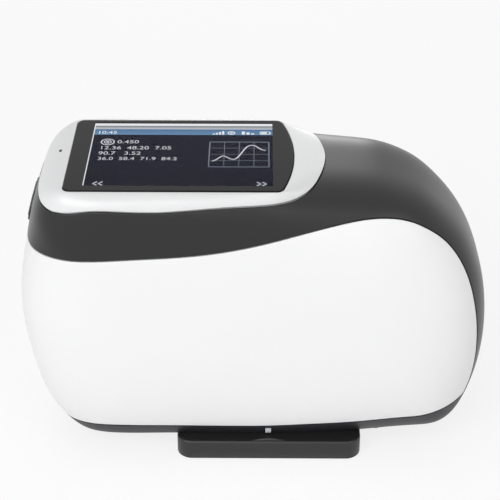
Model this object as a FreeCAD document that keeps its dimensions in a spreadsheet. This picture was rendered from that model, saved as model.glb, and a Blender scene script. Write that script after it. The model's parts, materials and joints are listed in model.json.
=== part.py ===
import FreeCAD, Part
import math
import os
import re
import Sketcher

Vector = FreeCAD.Vector
doc = FreeCAD.newDocument("bench_colour_meter")
sheet = doc.addObject("Spreadsheet::Sheet", "sizes")

# Frame: +Z up, +X to the socket end, -Y to the user; the origin is under the middle, on the table.
# Every size is in millimetres.
sizes = {
    "housing": {
        "instrumentLength": 179.8,
        "instrumentWidth": 73,
        "instrumentHeight": 110.1,
        "standHeight": 8.7,
        "shellWall": 2,
        "floorThickness": 2.2,
        "seamGap": 0.35,
        "lapGap": 0.15,
        "lapThickness": 1,
        "lapReach": 3,
        "overrun": 20,
        "fitGap": 0.3,
        "snugGap": 0.15,
    },
    "screen": {
        "glassThickness": 1.1,
        "glassCorner": 2.5,
        "glassProud": 0.3,
        "gasketThickness": 0.3,
        "bezelWall": 2.8,
        "screenLeftBorder": 6.6,
        "screenRightBorder": 3.1,
        "screenSideBorder": 3.2,
        "windowMargin": 1,
        "panelEndRim": 1.5,
        "panelSideRim": 0.6,
        "panelShift": 1.5,
        "panelCorner": 4,
        "panelThickness": 3.2,
        "bracketThickness": 1.2,
        "bracketRim": 6,
        "bracketTab": 7,
        "bezelBossRadius": 2.2,
        "bezelBossSpread": 14,
        "pipeRadius": 0.9,
        "pipeLength": 4.2,
        "pipeAlong": 73.1,
        "pipeAside": 4,
    },
    "button": {
        "buttonHeightAbove": 91,
        "buttonLength": 18,
        "buttonWidth": 9.5,
        "buttonThickness": 3.4,
        "buttonTilt": 15,
        "buttonTravel": 1.2,
        "buttonInset": 5.4,
        "buttonProud": 0.6,
        "ringRim": 1.2,
        "ringDepth": 4.2,
        "stemRadius": 1.6,
        "switchSide": 6,
        "switchDepth": 3.5,
        "stemLength": 2,
        "buttonEdge": 0.8,
        "buttonBoardLength": 43,
        "buttonBoardWidth": 11,
        "buttonBossSpread": 18.8,
        "buttonBossRadius": 1.8,
    },
    "sockets": {
        "bayWidth": 27,
        "bayLow": 10.3,
        "bayHigh": 28.4,
        "bayDepth": 11.9,
        "trayWall": 1.5,
        "trayInset": 0.4,
        "socketLift": 11.2,
        "socketProud": 0.4,
        "usbWidth": 12,
        "usbHeight": 10.9,
        "usbDepth": 13,
        "usbWall": 1.2,
        "usbTongueWidth": 5.6,
        "usbTongueHeight": 3.1,
        "usbAside": 6.6,
        "jackWidth": 9.4,
        "jackDepth": 12,
        "jackBore": 3.1,
        "jackPin": 1,
        "jackAside": 6.6,
        "switchAside": 0,
        "switchLift": 25.2,
        "switchWidth": 12,
        "switchHeight": 4.4,
        "switchDeep": 6,
        "knobWidth": 3.6,
        "knobHeight": 2.4,
        "knobProud": 1.9,
        "knobTravel": 3,
        "connectorBoardLength": 30,
        "connectorBoardWidth": 30,
    },
    "boards": {
        "boardThickness": 1.6,
        "mainBoardLength": 74,
        "mainBoardSideGap": 9.5,
        "mainBoardDrop": 7,
        "mainBoardMiddle": 26,
        "standoffRadius": 2.5,
        "standoffInset": 4,
        "screwShank": 1.2,
        "screwHead": 2.4,
        "screwHeadHeight": 1.4,
        "chipHeight": 1.4,
        "shieldLength": 26,
        "shieldWidth": 20,
        "shieldHeight": 2.6,
        "shieldSheet": 0.4,
        "radioLength": 18,
        "radioWidth": 13,
        "buzzerRadius": 5.5,
        "buzzerHeight": 4.5,
        "headerHeight": 5,
    },
    "battery": {
        "batteryLength": 34,
        "batteryWidth": 37,
        "batteryHeight": 18,
        "batteryMiddle": 42,
        "batteryCorner": 4,
        "cellTrayWall": 1.6,
        "cellTrayHeight": 9,
    },
    "optics": {
        "portAlong": 5.5,
        "portRadius": 5.5,
        "portWellRadius": 18.5,
        "portDishRadius": 9,
        "portRecess": 1.6,
        "portPlateThickness": 1.8,
        "flangeSideGap": 7.5,
        "flangeWidth": 6,
        "sphereWall": 3,
        "flangeThickness": 2,
        "neckRadius": 17.6,
        "neckThickness": 2.4,
        "deckThickness": 2,
        "deckLength": 66,
        "deckSideGap": 8.5,
        "legRadius": 3.4,
        "legSpreadLong": 24,
        "legInset": 9,
        "columnRadius": 2.8,
        "columnSpreadLong": 27,
        "columnInset": 3,
        "viewTilt": 8,
        "viewRadius": 3.2,
        "tubeWall": 1.2,
        "lensThickness": 1.6,
        "rimWidth": 2,
        "rimHeight": 4,
        "ledSide": 2.4,
        "ledHeight": 2,
        "boxLength": 62,
        "boxSideGap": 10.5,
        "boxHeight": 20,
        "boxWall": 2,
        "boxLift": 54.5,
        "slitWidth": 0.6,
        "slitPlateRadius": 4.5,
        "gratingSide": 16,
        "gratingDepth": 5,
        "sensorLength": 30,
        "sensorHeight": 9,
        "sensorDepth": 4,
        "driverBoardHeight": 34,
        "driverSpacer": 4,
        "driverSpacerRadius": 2,
    },
    "base": {
        "baseLength": 72,
        "baseWidth": 65,
        "baseCorner": 6,
        "baseEdge": 2.6,
        "baseBrow": 1,
        "ridgeLength": 17,
        "ridgeHeight": 0.95,
        "ridgeDepth": 1.6,
        "ridgeRound": 40,
        "padThickness": 1.2,
        "padProud": 0.4,
        "padMargin": 6,
        "tileRadius": 14,
        "tileThickness": 3.6,
        "retainerRim": 3,
        "retainerThickness": 0.8,
        "tileStep": 0.5,
    },
    "fixings": {
        "lugLength": 9,
        "lugHeight": 5,
        "lugReach": 8,
        "lugLeft": 65,
        "lugRight": 48,
        "lugAside": 20,
        "lugLift": 13.8,
        "bossRadius": 3.2,
        "markLength": 2.2,
        "markHeight": 3.4,
        "markProud": 0.35,
    },
}


# The glass, as shares of half the length and half the width of the housing.
glassLeftShare = 0.7675
glassRightShare = 0.1079
glassBulgeShare = 0.0512
glassWidthShare = 0.7973
# Sizes that follow from the others.
followingSizes = {
    "glassLeft": "instrumentLength / 2 * %g" % glassLeftShare,
    "glassRight": "instrumentLength / 2 * %g" % glassRightShare,
    "glassBulge": "instrumentLength / 2 * %g" % glassBulgeShare,
    "glassWidth": "instrumentWidth * %g" % glassWidthShare,
    "screenLength": "glassLeft + glassRight - screenLeftBorder - screenRightBorder",
    "screenWidth": "glassWidth - screenSideBorder * 2",
    "screenMiddle": "(glassLeft - screenLeftBorder - glassRight + screenRightBorder) / 2",
    "panelLength": "screenLength + panelEndRim * 2",
    "panelWidth": "screenWidth + panelSideRim * 2",
    "buttonReach": "instrumentLength / 2 - buttonInset",
    "bayFloorAlong": "instrumentLength / 2 - bayDepth",
    "mainBoardWidth": "instrumentWidth - mainBoardSideGap * 2",
    "flangeRadius": "instrumentWidth / 2 - flangeSideGap",
    "sphereRadius": "flangeRadius - flangeWidth - sphereWall",
    "deckWidth": "instrumentWidth - deckSideGap * 2",
    "legSpreadWide": "deckWidth / 2 - legInset",
    "boxWidth": "instrumentWidth - boxSideGap * 2",
    "columnSpreadWide": "boxWidth / 2 - columnInset",
}


def fillSheet():
    row = 1
    for group, entries in sizes.items():
        sheet.set("A%d" % row, group)
        row += 1
        for alias, number in entries.items():
            sheet.set("A%d" % row, alias)
            sheet.set("B%d" % row, "%g" % number)
            sheet.setAlias("B%d" % row, alias)
            row += 1
    for alias, text in followingSizes.items():
        sheet.set("A%d" % row, alias)
        sheet.set("B%d" % row, "=" + text)
        sheet.setAlias("B%d" % row, alias)
        row += 1
    doc.recompute()


aliases = {alias for entries in sizes.values() for alias in entries} | set(followingSizes)


# A size rule in the sheet's own terms: each alias gets the sheet's name in front.
def rule(text):
    return re.sub(r"[A-Za-z]+", prefixed, text)


def prefixed(match):
    word = match.group()
    return "sizes." + word if word in aliases else word


# The number that a size rule gives.
def size(text):
    return float(sheet.evalExpression(rule(text)))


def place(piece, along="0", aside="0", up="0"):
    for letter, text in zip("xyz", (along, aside, up)):
        piece.setExpression("Placement.Base." + letter, rule(text))
    return piece


def turn(piece, axis, angle):
    piece.Placement = FreeCAD.Placement(Vector(), FreeCAD.Rotation(axis, 1))
    piece.setExpression("Placement.Rotation.Angle", rule(angle))
    return piece


# Two heights this close are one height.
sameHeight = 0.001
acrossX = Vector(1, 0, 0)
acrossY = Vector(0, 1, 0)
quarterTurn = 90


# A box whose footprint is centred on a place, standing on a height.
def block(name, middle, extent):
    box = doc.addObject("Part::Box", name)
    for side, text in zip(("Length", "Width", "Height"), extent):
        box.setExpression(side, rule(text))
    along, aside, low = middle
    return place(box, "%s - (%s) / 2" % (along, extent[0]), "%s - (%s) / 2" % (aside, extent[1]), low)


# A round bar that starts at a place and runs along +Z, +X or +Y.
def rod(name, start, radius, reach, along="z"):
    bar = doc.addObject("Part::Cylinder", name)
    bar.setExpression("Radius", rule(radius))
    bar.setExpression("Height", rule(reach))
    if along == "x":
        bar.Placement.Rotation = FreeCAD.Rotation(acrossY, quarterTurn)
    if along == "y":
        bar.Placement.Rotation = FreeCAD.Rotation(acrossX, -quarterTurn)
    return place(bar, *start)


def join(name, parts):
    fused = doc.addObject("Part::MultiFuse", name)
    fused.Shapes = parts
    return fused


def overlapOf(name, parts):
    shared = doc.addObject("Part::MultiCommon", name)
    shared.Shapes = parts
    return shared


def cut(name, base, tools):
    removed = doc.addObject("Part::Cut", name)
    removed.Base = base
    removed.Tool = tools[0] if len(tools) == 1 else join(name + "Tools", tools)
    return removed


def gather(name, parts):
    compound = doc.addObject("Part::Compound", name)
    compound.Links = parts
    return compound


pieces = {}


def keep(name, piece):
    piece.Label = name
    pieces[name] = piece
    return piece


def newSketch(body, name, lift="0", role="XY_Plane"):
    sketch = body.newObject("Sketcher::SketchObject", name)
    plane = next(item for item in body.Origin.OriginFeatures if item.Role == role)
    sketch.AttachmentSupport = [(plane, "")]
    sketch.MapMode = "FlatFace"
    sketch.setExpression("AttachmentOffset.Base.z", rule(lift))
    return sketch


# Ties a point of the sketch to the axes by two size rules.
def pin(sketch, line, end, spot):
    for kind, axis, text in (("DistanceX", -2, spot[0]), ("DistanceY", -1, spot[1])):
        if text == "0":
            sketch.addConstraint(Sketcher.Constraint("PointOnObject", line, end, axis))
            continue
        index = sketch.addConstraint(Sketcher.Constraint(kind, -1, 1, line, end, size(text)))
        sketch.setExpression("Constraints[%d]" % index, rule(text))


def drawPolygon(sketch, corners):
    first = sketch.GeometryCount
    spots = [Vector(size(across), size(up), 0) for across, up in corners]
    for here, there in zip(spots, spots[1:] + spots[:1]):
        sketch.addGeometry(Part.LineSegment(here, there), False)
    for index in range(len(corners)):
        after = (index + 1) % len(corners)
        sketch.addConstraint(Sketcher.Constraint("Coincident", first + index, 2, first + after, 1))
    for index, corner in enumerate(corners):
        pin(sketch, first + index, 1, corner)


def drawRectangle(sketch, middle, extent):
    low = ["%s - (%s) / 2" % pair for pair in zip(middle, extent)]
    high = ["%s + (%s) / 2" % pair for pair in zip(middle, extent)]
    drawPolygon(sketch, [(low[0], low[1]), (high[0], low[1]), (high[0], high[1]), (low[0], high[1])])


def drawCircle(sketch, middle, radius):
    spot = Vector(size(middle[0]), size(middle[1]), 0)
    line = sketch.addGeometry(Part.Circle(spot, Vector(0, 0, 1), size(radius)), False)
    pin(sketch, line, 3, middle)
    index = sketch.addConstraint(Sketcher.Constraint("Radius", line, size(radius)))
    sketch.setExpression("Constraints[%d]" % index, rule(radius))


def pad(body, sketch, height):
    feature = body.newObject("PartDesign::Pad", sketch.Name + "Pad")
    feature.Profile = sketch
    feature.setExpression("Length", rule(height))
    doc.recompute()
    return feature


# A pocket goes down from its sketch, and has to take something away.
def pocket(body, sketch, depth):
    before = body.Shape.Volume
    feature = body.newObject("PartDesign::Pocket", sketch.Name + "Pocket")
    feature.Profile = sketch
    feature.setExpression("Length", rule(depth))
    doc.recompute()
    if body.Shape.Volume >= before:
        raise ValueError(sketch.Name + " removes nothing")
    return feature


def isUpright(edge):
    box = edge.BoundBox
    return box.ZLength > max(box.XLength, box.YLength)


def roundEdges(body, name, wanted, radius):
    base = body.Tip
    chosen = ["Edge%d" % (number + 1) for number, edge in enumerate(base.Shape.Edges) if wanted(edge)]
    fillet = body.newObject("PartDesign::Fillet", name)
    fillet.Base = (base, chosen)
    fillet.setExpression("Radius", rule(radius))
    doc.recompute()
    return fillet


# A plate with rounded upright corners, centred on its own origin, with round holes through it.
def plate(name, extent, thickness, corner="0", holes=(), window=None):
    body = doc.addObject("PartDesign::Body", name + "Body")
    sketch = newSketch(body, name + "Outline")
    drawRectangle(sketch, ("0", "0"), extent)
    pad(body, sketch, thickness)
    if corner != "0":
        roundEdges(body, name + "Corners", isUpright, corner)
    if holes or window:
        openings = newSketch(body, name + "Openings", lift=thickness)
        for spot, radius in holes:
            drawCircle(openings, spot, radius)
        if window:
            drawRectangle(openings, *window)
        pocket(body, openings, thickness)
    return body


# A turned piece: its half section, as radius and height, revolved about its own Z axis.
def turned(name, section):
    body = doc.addObject("PartDesign::Body", name + "Body")
    sketch = newSketch(body, name + "Section", role="XZ_Plane")
    drawPolygon(sketch, section)
    feature = body.newObject("PartDesign::Revolution", name + "Turn")
    feature.Profile = sketch
    feature.ReferenceAxis = (sketch, ["V_Axis"])
    doc.recompute()
    return body


# The four places of a rectangle about a middle.
def fourPlaces(along, aside, spreadLong, spreadWide):
    signs = [(-1, -1), (1, -1), (1, 1), (-1, 1)]
    return [("%s + %d * (%s)" % (along, first, spreadLong), "%s + %d * (%s)" % (aside, second, spreadWide))
            for first, second in signs]


# Screws with their heads down, standing at a height; the cutter version has the clearance.
def screws(name, places, low, reach, clearance="0"):
    parts = []
    for index, (along, aside) in enumerate(places):
        head = rod("%sHead%d" % (name, index), (along, aside, low), "screwHead + " + clearance,
                   "screwHeadHeight")
        shank = rod("%sShank%d" % (name, index), (along, aside, low), "screwShank + " + clearance, reach)
        parts.append(join("%s%d" % (name, index), [head, shank]))
    return parts


# Heights that several pieces share.
underside = "standHeight"
floorTop = "(standHeight + floorThickness)"
bezelTop = "(standHeight + instrumentHeight - glassProud)"
glassLow = "(standHeight + instrumentHeight - glassThickness)"
ledgeTop = "(standHeight + instrumentHeight - glassThickness - gasketThickness)"
panelLow = "(standHeight + instrumentHeight - glassProud - bezelWall - snugGap - panelThickness)"
bracketLow = panelLow[:-1] + " - bracketThickness)"
mainBoardLow = bracketLow[:-1] + " - mainBoardDrop - boardThickness)"
portPlateLow = "(standHeight + portRecess)"
portPlateTop = "(standHeight + portRecess + portPlateThickness)"
sphereMiddle = "(standHeight + portRecess + portPlateThickness + sphereRadius + sphereWall)"
deckLow = sphereMiddle[:-1] + " - flangeThickness - deckThickness)"
deckTop = sphereMiddle[:-1] + " - flangeThickness)"
boxLow = "(standHeight + boxLift)"
boxFloor = "(standHeight + boxLift + boxWall)"


# The housing's outline in the middle plane: shares of half the length and of the height, and
# how square the cross-section is there.
outlineShares = [
    (-1.000, 0.439, 3.6), (-0.999, 0.566, 3.6), (-0.971, 0.702, 3.7), (-0.934, 0.838, 4.2),
    (-0.888, 0.936, 5.5), (-0.785, 0.997, 7.5), (-0.652, 1.009, 9.5), (-0.429, 1.009, 8.5),
    (-0.207, 1.007, 7.8), (-0.029, 1.005, 6.6), (0.093, 0.998, 5.5), (0.194, 0.994, 4.75),
    (0.294, 0.990, 4.4), (0.405, 0.984, 4.2), (0.520, 0.974, 4.05), (0.612, 0.952, 3.9),
    (0.703, 0.915, 3.7), (0.791, 0.853, 3.55), (0.876, 0.769, 3.4), (0.939, 0.670, 3.3),
    (0.980, 0.557, 3.2), (0.999, 0.430, 3.1), (0.997, 0.321, 3.1), (0.978, 0.212, 3.1),
    (0.941, 0.107, 3.1), (0.894, 0.030, 3.1), (0.828, -0.014, 3.1), (0.716, -0.032, 3.0),
    (0.527, -0.049, 3.0), (0.305, -0.070, 3.0), (-0.007, -0.084, 3.0), (-0.340, -0.084, 3.0),
    (-0.607, -0.081, 3.1), (-0.758, -0.050, 3.2), (-0.857, 0.025, 3.3), (-0.928, 0.134, 3.4),
    (-0.974, 0.284, 3.5)]
# Cross-section levels, as shares of half the width, and the flat left in the middle of a flank.
levelShares = [0, 0.3, 0.52, 0.7, 0.82, 0.9, 0.95, 0.982]
flankShare = 0.55
# The housing swells about a line inside it: half its length and its height.
coreLengthShare = 0.423
coreHeightShare = 0.466


def levelPoints(level, inset):
    halfLength = size("instrumentLength") / 2
    height = size("instrumentHeight")
    halfWidth = size("instrumentWidth") / 2 - inset
    core = coreLengthShare * halfLength
    coreUp = size("standHeight") + coreHeightShare * height
    points = []
    for alongShare, heightShare, squareness in outlineShares:
        along = alongShare * halfLength
        middle = max(-core, min(core, along))
        spoke = Vector(along - middle, 0, size("standHeight") + heightShare * height - coreUp)
        inner = min(abs(level), levelShares[-1])
        reach = (1 - inner ** squareness) ** (1 / squareness)
        if abs(level) == 1:
            reach *= flankShare
        spoke *= reach * (spoke.Length - inset) / spoke.Length
        points.append(Vector(middle, level * halfWidth, coreUp) + spoke)
    return points


# A smooth closed ring through points, with the same spacing of its knots at every level.
def smoothRing(points, knots):
    ring = Part.BSplineCurve()
    ring.interpolate(Points=points, PeriodicFlag=True, Parameters=knots)
    return Part.Wire([ring.toShape()])


def ringKnots(points):
    knots = [0]
    for here, there in zip(points, points[1:] + points[:1]):
        knots.append(knots[-1] + math.sqrt((there - here).Length))
    return knots


# The housing's outer surface moved inwards by an inset, as one solid.
def housingForm(name, inset):
    knots = ringKnots(levelPoints(0, 0))
    levels = [-1] + [-share for share in levelShares[:0:-1]] + levelShares + [1]
    rings = [smoothRing(levelPoints(level, size(inset)), knots) for level in levels]
    form = doc.addObject("Part::Feature", name)
    form.Shape = Part.makeLoft(rings, True, False)
    return form


# Seams seen from the side, as shares of half the length and of the height.
flankSeamShares = [
    (-1.100, 0.762), (-0.942, 0.763), (-0.746, 0.765), (-0.584, 0.768), (-0.423, 0.773),
    (-0.260, 0.785), (-0.099, 0.809), (0.062, 0.843), (0.223, 0.875), (0.381, 0.906),
    (0.473, 0.917), (0.538, 0.916), (0.618, 0.898), (0.701, 0.865), (0.785, 0.793),
    (0.834, 0.718), (0.878, 0.639), (0.933, 0.520), (0.970, 0.413), (0.979, 0.321),
    (0.965, 0.221), (0.928, 0.121), (0.872, 0.030), (0.817, -0.043)]
floorSeamShares = [
    (-1.100, 0.040), (-0.941, 0.043), (-0.785, 0.051), (-0.630, 0.059), (-0.452, 0.057),
    (-0.107, 0.054), (0.071, 0.056), (0.238, 0.065), (0.416, 0.075), (0.594, 0.092),
    (0.772, 0.114), (0.883, 0.137), (0.994, 0.166), (1.100, 0.200)]
# The bezel stands on a plane that rises to the right: two points of it.
bezelPlaneShares = [(-1.200, 0.935), (1.200, 0.978)]
# How far the cutting slabs run past the housing.
beyondShare = 1.3


def sidePoint(share, shiftAlong=0, shiftUp=0):
    along = share[0] * size("instrumentLength") / 2 + shiftAlong
    up = size("standHeight") + share[1] * size("instrumentHeight") + shiftUp
    return Vector(along, -beyondShare * size("instrumentWidth"), up)


# A slab across the whole width, bounded by a seam seen from the side and by straight lines.
def sideSlab(name, seamShares, cornerShares, shiftAlong="0", shiftUp="0"):
    shift = (size(shiftAlong), size(shiftUp))
    seam = [sidePoint(share, *shift) for share in seamShares]
    corners = [seam[-1]] + [sidePoint(share) for share in cornerShares] + [seam[0]]
    curve = Part.BSplineCurve()
    curve.interpolate(seam)
    edges = [curve.toShape()] + [Part.makeLine(here, there) for here, there in zip(corners, corners[1:])]
    slab = doc.addObject("Part::Feature", name)
    across = Vector(0, 2 * beyondShare * size("instrumentWidth"), 0)
    slab.Shape = Part.Face(Part.Wire(edges)).extrude(across)
    return slab


def coverSlab(name, shift):
    corners = [(beyondShare, -beyondShare), (beyondShare, beyondShare), (-beyondShare, beyondShare)]
    return sideSlab(name, flankSeamShares, corners, "-(%s)" % shift, "-(%s)" % shift)


def floorSlab(name, shift):
    corners = [(beyondShare, -beyondShare), (-beyondShare, -beyondShare)]
    return sideSlab(name, floorSeamShares, corners, "0", shift)


def bezelSlab(name, shift):
    corners = [(beyondShare, beyondShare), (-beyondShare, beyondShare)]
    return sideSlab(name, bezelPlaneShares, corners, "0", shift)


# Half of the bezel's outline, from its left tip round the near side to its right tip, as shares
# of half the length and half the width: the foot on the bezel plane, then the rim by the glass.
bezelShares = [
    ((-0.890, 0.000), (-0.776, 0.000)), ((-0.889, -0.247), (-0.776, -0.247)),
    ((-0.887, -0.463), (-0.776, -0.463)), ((-0.878, -0.608), (-0.776, -0.589)),
    ((-0.857, -0.753), (-0.775, -0.707)), ((-0.818, -0.874), (-0.768, -0.790)),
    ((-0.775, -0.937), (-0.741, -0.814)), ((-0.714, -0.959), (-0.696, -0.817)),
    ((-0.563, -0.956), (-0.563, -0.817)), ((-0.416, -0.945), (-0.418, -0.817)),
    ((-0.251, -0.931), (-0.251, -0.817)), ((-0.118, -0.908), (-0.118, -0.817)),
    ((-0.018, -0.890), (-0.027, -0.817)), ((0.070, -0.849), (0.043, -0.814)),
    ((0.158, -0.780), (0.096, -0.772)), ((0.221, -0.680), (0.124, -0.679)),
    ((0.254, -0.530), (0.140, -0.521)), ((0.276, -0.330), (0.153, -0.315)),
    ((0.288, -0.150), (0.162, -0.148)), ((0.292, 0.000), (0.165, 0.000))]
# How the bezel's crown climbs from its foot to its rim: round at first, squarer towards its right
# tip, where only its upper part stands out of the cover.
crownShares = [0, 0.35, 0.65, 0.88, 1]
crownPowers = (1.8, 5)
crownPowerShares = (0.06, 0.29)


def crownPower(along):
    first, last = crownPowerShares
    share = (along / (size("instrumentLength") / 2) - first) / (last - first)
    return crownPowers[0] + (crownPowers[1] - crownPowers[0]) * max(0, min(1, share))


def bezelPlaneUp(along):
    (firstAlong, firstUp), (lastAlong, lastUp) = bezelPlaneShares
    share = along / (size("instrumentLength") / 2)
    heightShare = firstUp + (lastUp - firstUp) * (share - firstAlong) / (lastAlong - firstAlong)
    return size("standHeight") + heightShare * size("instrumentHeight")


def bezelOutline(which):
    halfLength = size("instrumentLength") / 2
    halfWidth = size("instrumentWidth") / 2
    near = [Vector(pair[which][0] * halfLength, pair[which][1] * halfWidth, 0) for pair in bezelShares]
    far = [Vector(spot.x, -spot.y, 0) for spot in near[-2:0:-1]]
    return near + far


# The outline drawn in about its own middle, by the same distance at its ends and at its sides.
def insetOutline(points, distance):
    low = min(spot.x for spot in points)
    high = max(spot.x for spot in points)
    middle = (low + high) / 2
    acrossShare = 1 - distance / max(spot.y for spot in points)
    alongShare = 1 - distance / (high - middle)
    return [Vector(middle + (spot.x - middle) * alongShare, spot.y * acrossShare, 0) for spot in points]


# The bezel's crown as a solid, its wall moved inwards and its foot moved up.
def bezelForm(name, inset, rise):
    foot = insetOutline(bezelOutline(0), size(inset))
    rim = insetOutline(bezelOutline(1), size(inset))
    top = size(bezelTop) - size(inset)
    knots = ringKnots(bezelOutline(0))
    rings = []
    for climb in crownShares:
        ring = []
        for low, high in zip(foot, rim):
            power = crownPower(low.x)
            spot = high + (low - high) * (1 - climb ** power) ** (1 / power)
            lowUp = bezelPlaneUp(low.x) + size(rise)
            ring.append(Vector(spot.x, spot.y, lowUp + (top - lowUp) * climb))
        rings.append(smoothRing(ring, knots))
    form = doc.addObject("Part::Feature", name)
    form.Shape = Part.makeLoft(rings, True, False)
    return form


# A straight shaft of the bezel's foot outline, moved inwards, from a height upwards.
def bezelShaft(name, inset, low, high):
    spots = insetOutline(bezelOutline(0), size(inset))
    ring = smoothRing([Vector(spot.x, spot.y, size(low)) for spot in spots], ringKnots(bezelOutline(0)))
    shaft = doc.addObject("Part::Feature", name)
    shaft.Shape = Part.Face(ring).extrude(Vector(0, 0, size(high) - size(low)))
    return shaft


# The outer shells: cut from the housing's forms along the seams, with a lap behind each seam.
def makeShells():
    outer = housingForm("outerForm", "0")
    inner = housingForm("innerForm", "shellWall")
    lapOuter = housingForm("lapOuterForm", "shellWall + lapGap")
    lapInner = housingForm("lapInnerForm", "shellWall + lapGap + lapThickness")
    cover = coverSlab("coverSlab", "0")
    coverClear = coverSlab("coverClear", "seamGap")
    coverLap = coverSlab("coverLap", "lapReach")
    coverLapClear = coverSlab("coverLapClear", "lapReach + seamGap")
    floor = floorSlab("floorSlab", "0")
    floorClear = floorSlab("floorClear", "seamGap")
    floorLap = floorSlab("floorLap", "lapReach")
    below = block("belowUnderside", ("0", "0", "-overrun"),
                  ("instrumentLength * 2", "instrumentWidth * 2", underside + " + overrun"))
    aboveFloor = block("aboveFloor", ("0", "0", floorTop),
                       ("instrumentLength * 2", "instrumentWidth * 2", "instrumentHeight * 2"))
    hollow = overlapOf("hollow", [lapInner, aboveFloor])
    trayCut = trayBlock("trayCut", "trayWall + snugGap")

    nearHalf = block("nearHalf", ("0", "-instrumentWidth / 2 - seamGap / 2", "0"),
                     ("instrumentLength * 2", "instrumentWidth", "instrumentHeight * 2"))
    farHalf = block("farHalf", ("0", "instrumentWidth / 2 + seamGap / 2", "0"),
                    ("instrumentLength * 2", "instrumentWidth", "instrumentHeight * 2"))
    flank = cut("flank", outer, [inner, coverClear, floorClear])
    lugs = lugBlocks()
    nearFlank = join("nearFlank", [overlapOf("nearFlankHalf", [flank, nearHalf]), lugs[0], lugs[1]])
    farFlank = join("farFlank", [overlapOf("farFlankHalf", [flank, farHalf]), lugs[2], lugs[3]])
    lugHoles = screws("lugHole", lugPlaces(), screwLow, "lugLift + lugHeight", "snugGap")
    keep("near_side_shell", cut("nearShell", nearFlank, [trayCut] + lugHoles[:2]))
    keep("far_side_shell", cut("farShell", farFlank, [trayCut] + lugHoles[2:]))

    saddleBody = join("saddleBody", [overlapOf("saddleWall", [outer, cover]),
                                     overlapOf("saddleLap", [lapOuter, coverLap])])
    overCover = "standHeight + instrumentHeight + overrun"
    underBezel = bezelShaft("underBezel", "bezelWall + snugGap", underside, overCover)
    bezelSeat = overlapOf("bezelSeat", [bezelSlab("bezelPlane", "0"),
                                        bezelShaft("bezelEdge", "0 - seamGap", underside, overCover)])
    bosses = overlapOf("buttonBossesTrimmed", [outer, gather("buttonBosses", buttonBosses())])
    saddleHollow = cut("saddleHollow", saddleBody, [lapInner])
    saddleWhole = join("saddleWhole", [saddleHollow, bosses])
    keep("saddle_cover", cut("saddle", saddleWhole, [floorClear, bezelSeat, underBezel, trayCut,
                                                     ringBlank("ringSlot", "snugGap", "overrun")]))

    floorLapRing = cut("floorLapRing", overlapOf("floorLapForm", [lapOuter, floorLap]), [coverLapClear])
    floorBody = join("floorBody", [overlapOf("floorWall", [outer, floor]), floorLapRing])
    wellWall = rod("wellWall", ("portAlong", "0", underside), "portWellRadius + shellWall",
                   "portRecess + portPlateThickness + neckThickness")
    bossRods = [rod("lugBoss%d" % index, (along, aside, underside), "bossRadius", "lugLift - fitGap")
                for index, (along, aside) in enumerate(lugPlaces())]
    bossRods += [rod("boardBoss%d" % index, (along, aside, underside), "bossRadius",
                     "socketLift - boardThickness") for index, (along, aside) in enumerate(boardBossPlaces())]
    solidFloor = join("solidFloor", [cut("hollowFloor", floorBody, [hollow]), wellWall] + bossRods)
    well = rod("well", ("portAlong", "0", "0"), "portWellRadius", "standHeight + instrumentHeight / 2")
    keep("bottom_cover", cut("floorCover", solidFloor, [below, well, trayCut]
                             + screws("floorHole", lugPlaces(), screwLow, "lugLift", "snugGap")
                             + screws("deckHole", deckPlaces(), screwLow, "lugLift", "snugGap")))


# Screw heads sit just inside the underside.
screwLow = "(standHeight + snugGap)"


def lugPlaces():
    return [("-lugLeft", "-lugAside"), ("lugRight", "-lugAside"), ("lugRight", "lugAside"),
            ("-lugLeft", "lugAside")]


def boardBossPlaces():
    return [("bayFloorAlong - connectorBoardLength + bossRadius",
             "%d * (connectorBoardWidth / 2 - bossRadius)" % side) for side in (-1, 1)]


def deckPlaces():
    return fourPlaces("portAlong", "0", "legSpreadLong", "legSpreadWide")


# Lugs reach in from the side shells over the bosses of the bottom cover.
def lugBlocks():
    trim = housingForm("lugTrim", "shellWall / 2")
    lugs = []
    for index, (along, aside) in enumerate(lugPlaces()):
        side = "-1" if index < 2 else "1"
        middle = "%s * (lugAside - lugReach / 2 + instrumentWidth / 4)" % side
        bar = block("lugBar%d" % index, (along, middle, "standHeight + lugLift"),
                    ("lugLength", "instrumentWidth / 2", "lugHeight"))
        lugs.append(overlapOf("lug%d" % index, [trim, bar]))
    return lugs


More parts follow.
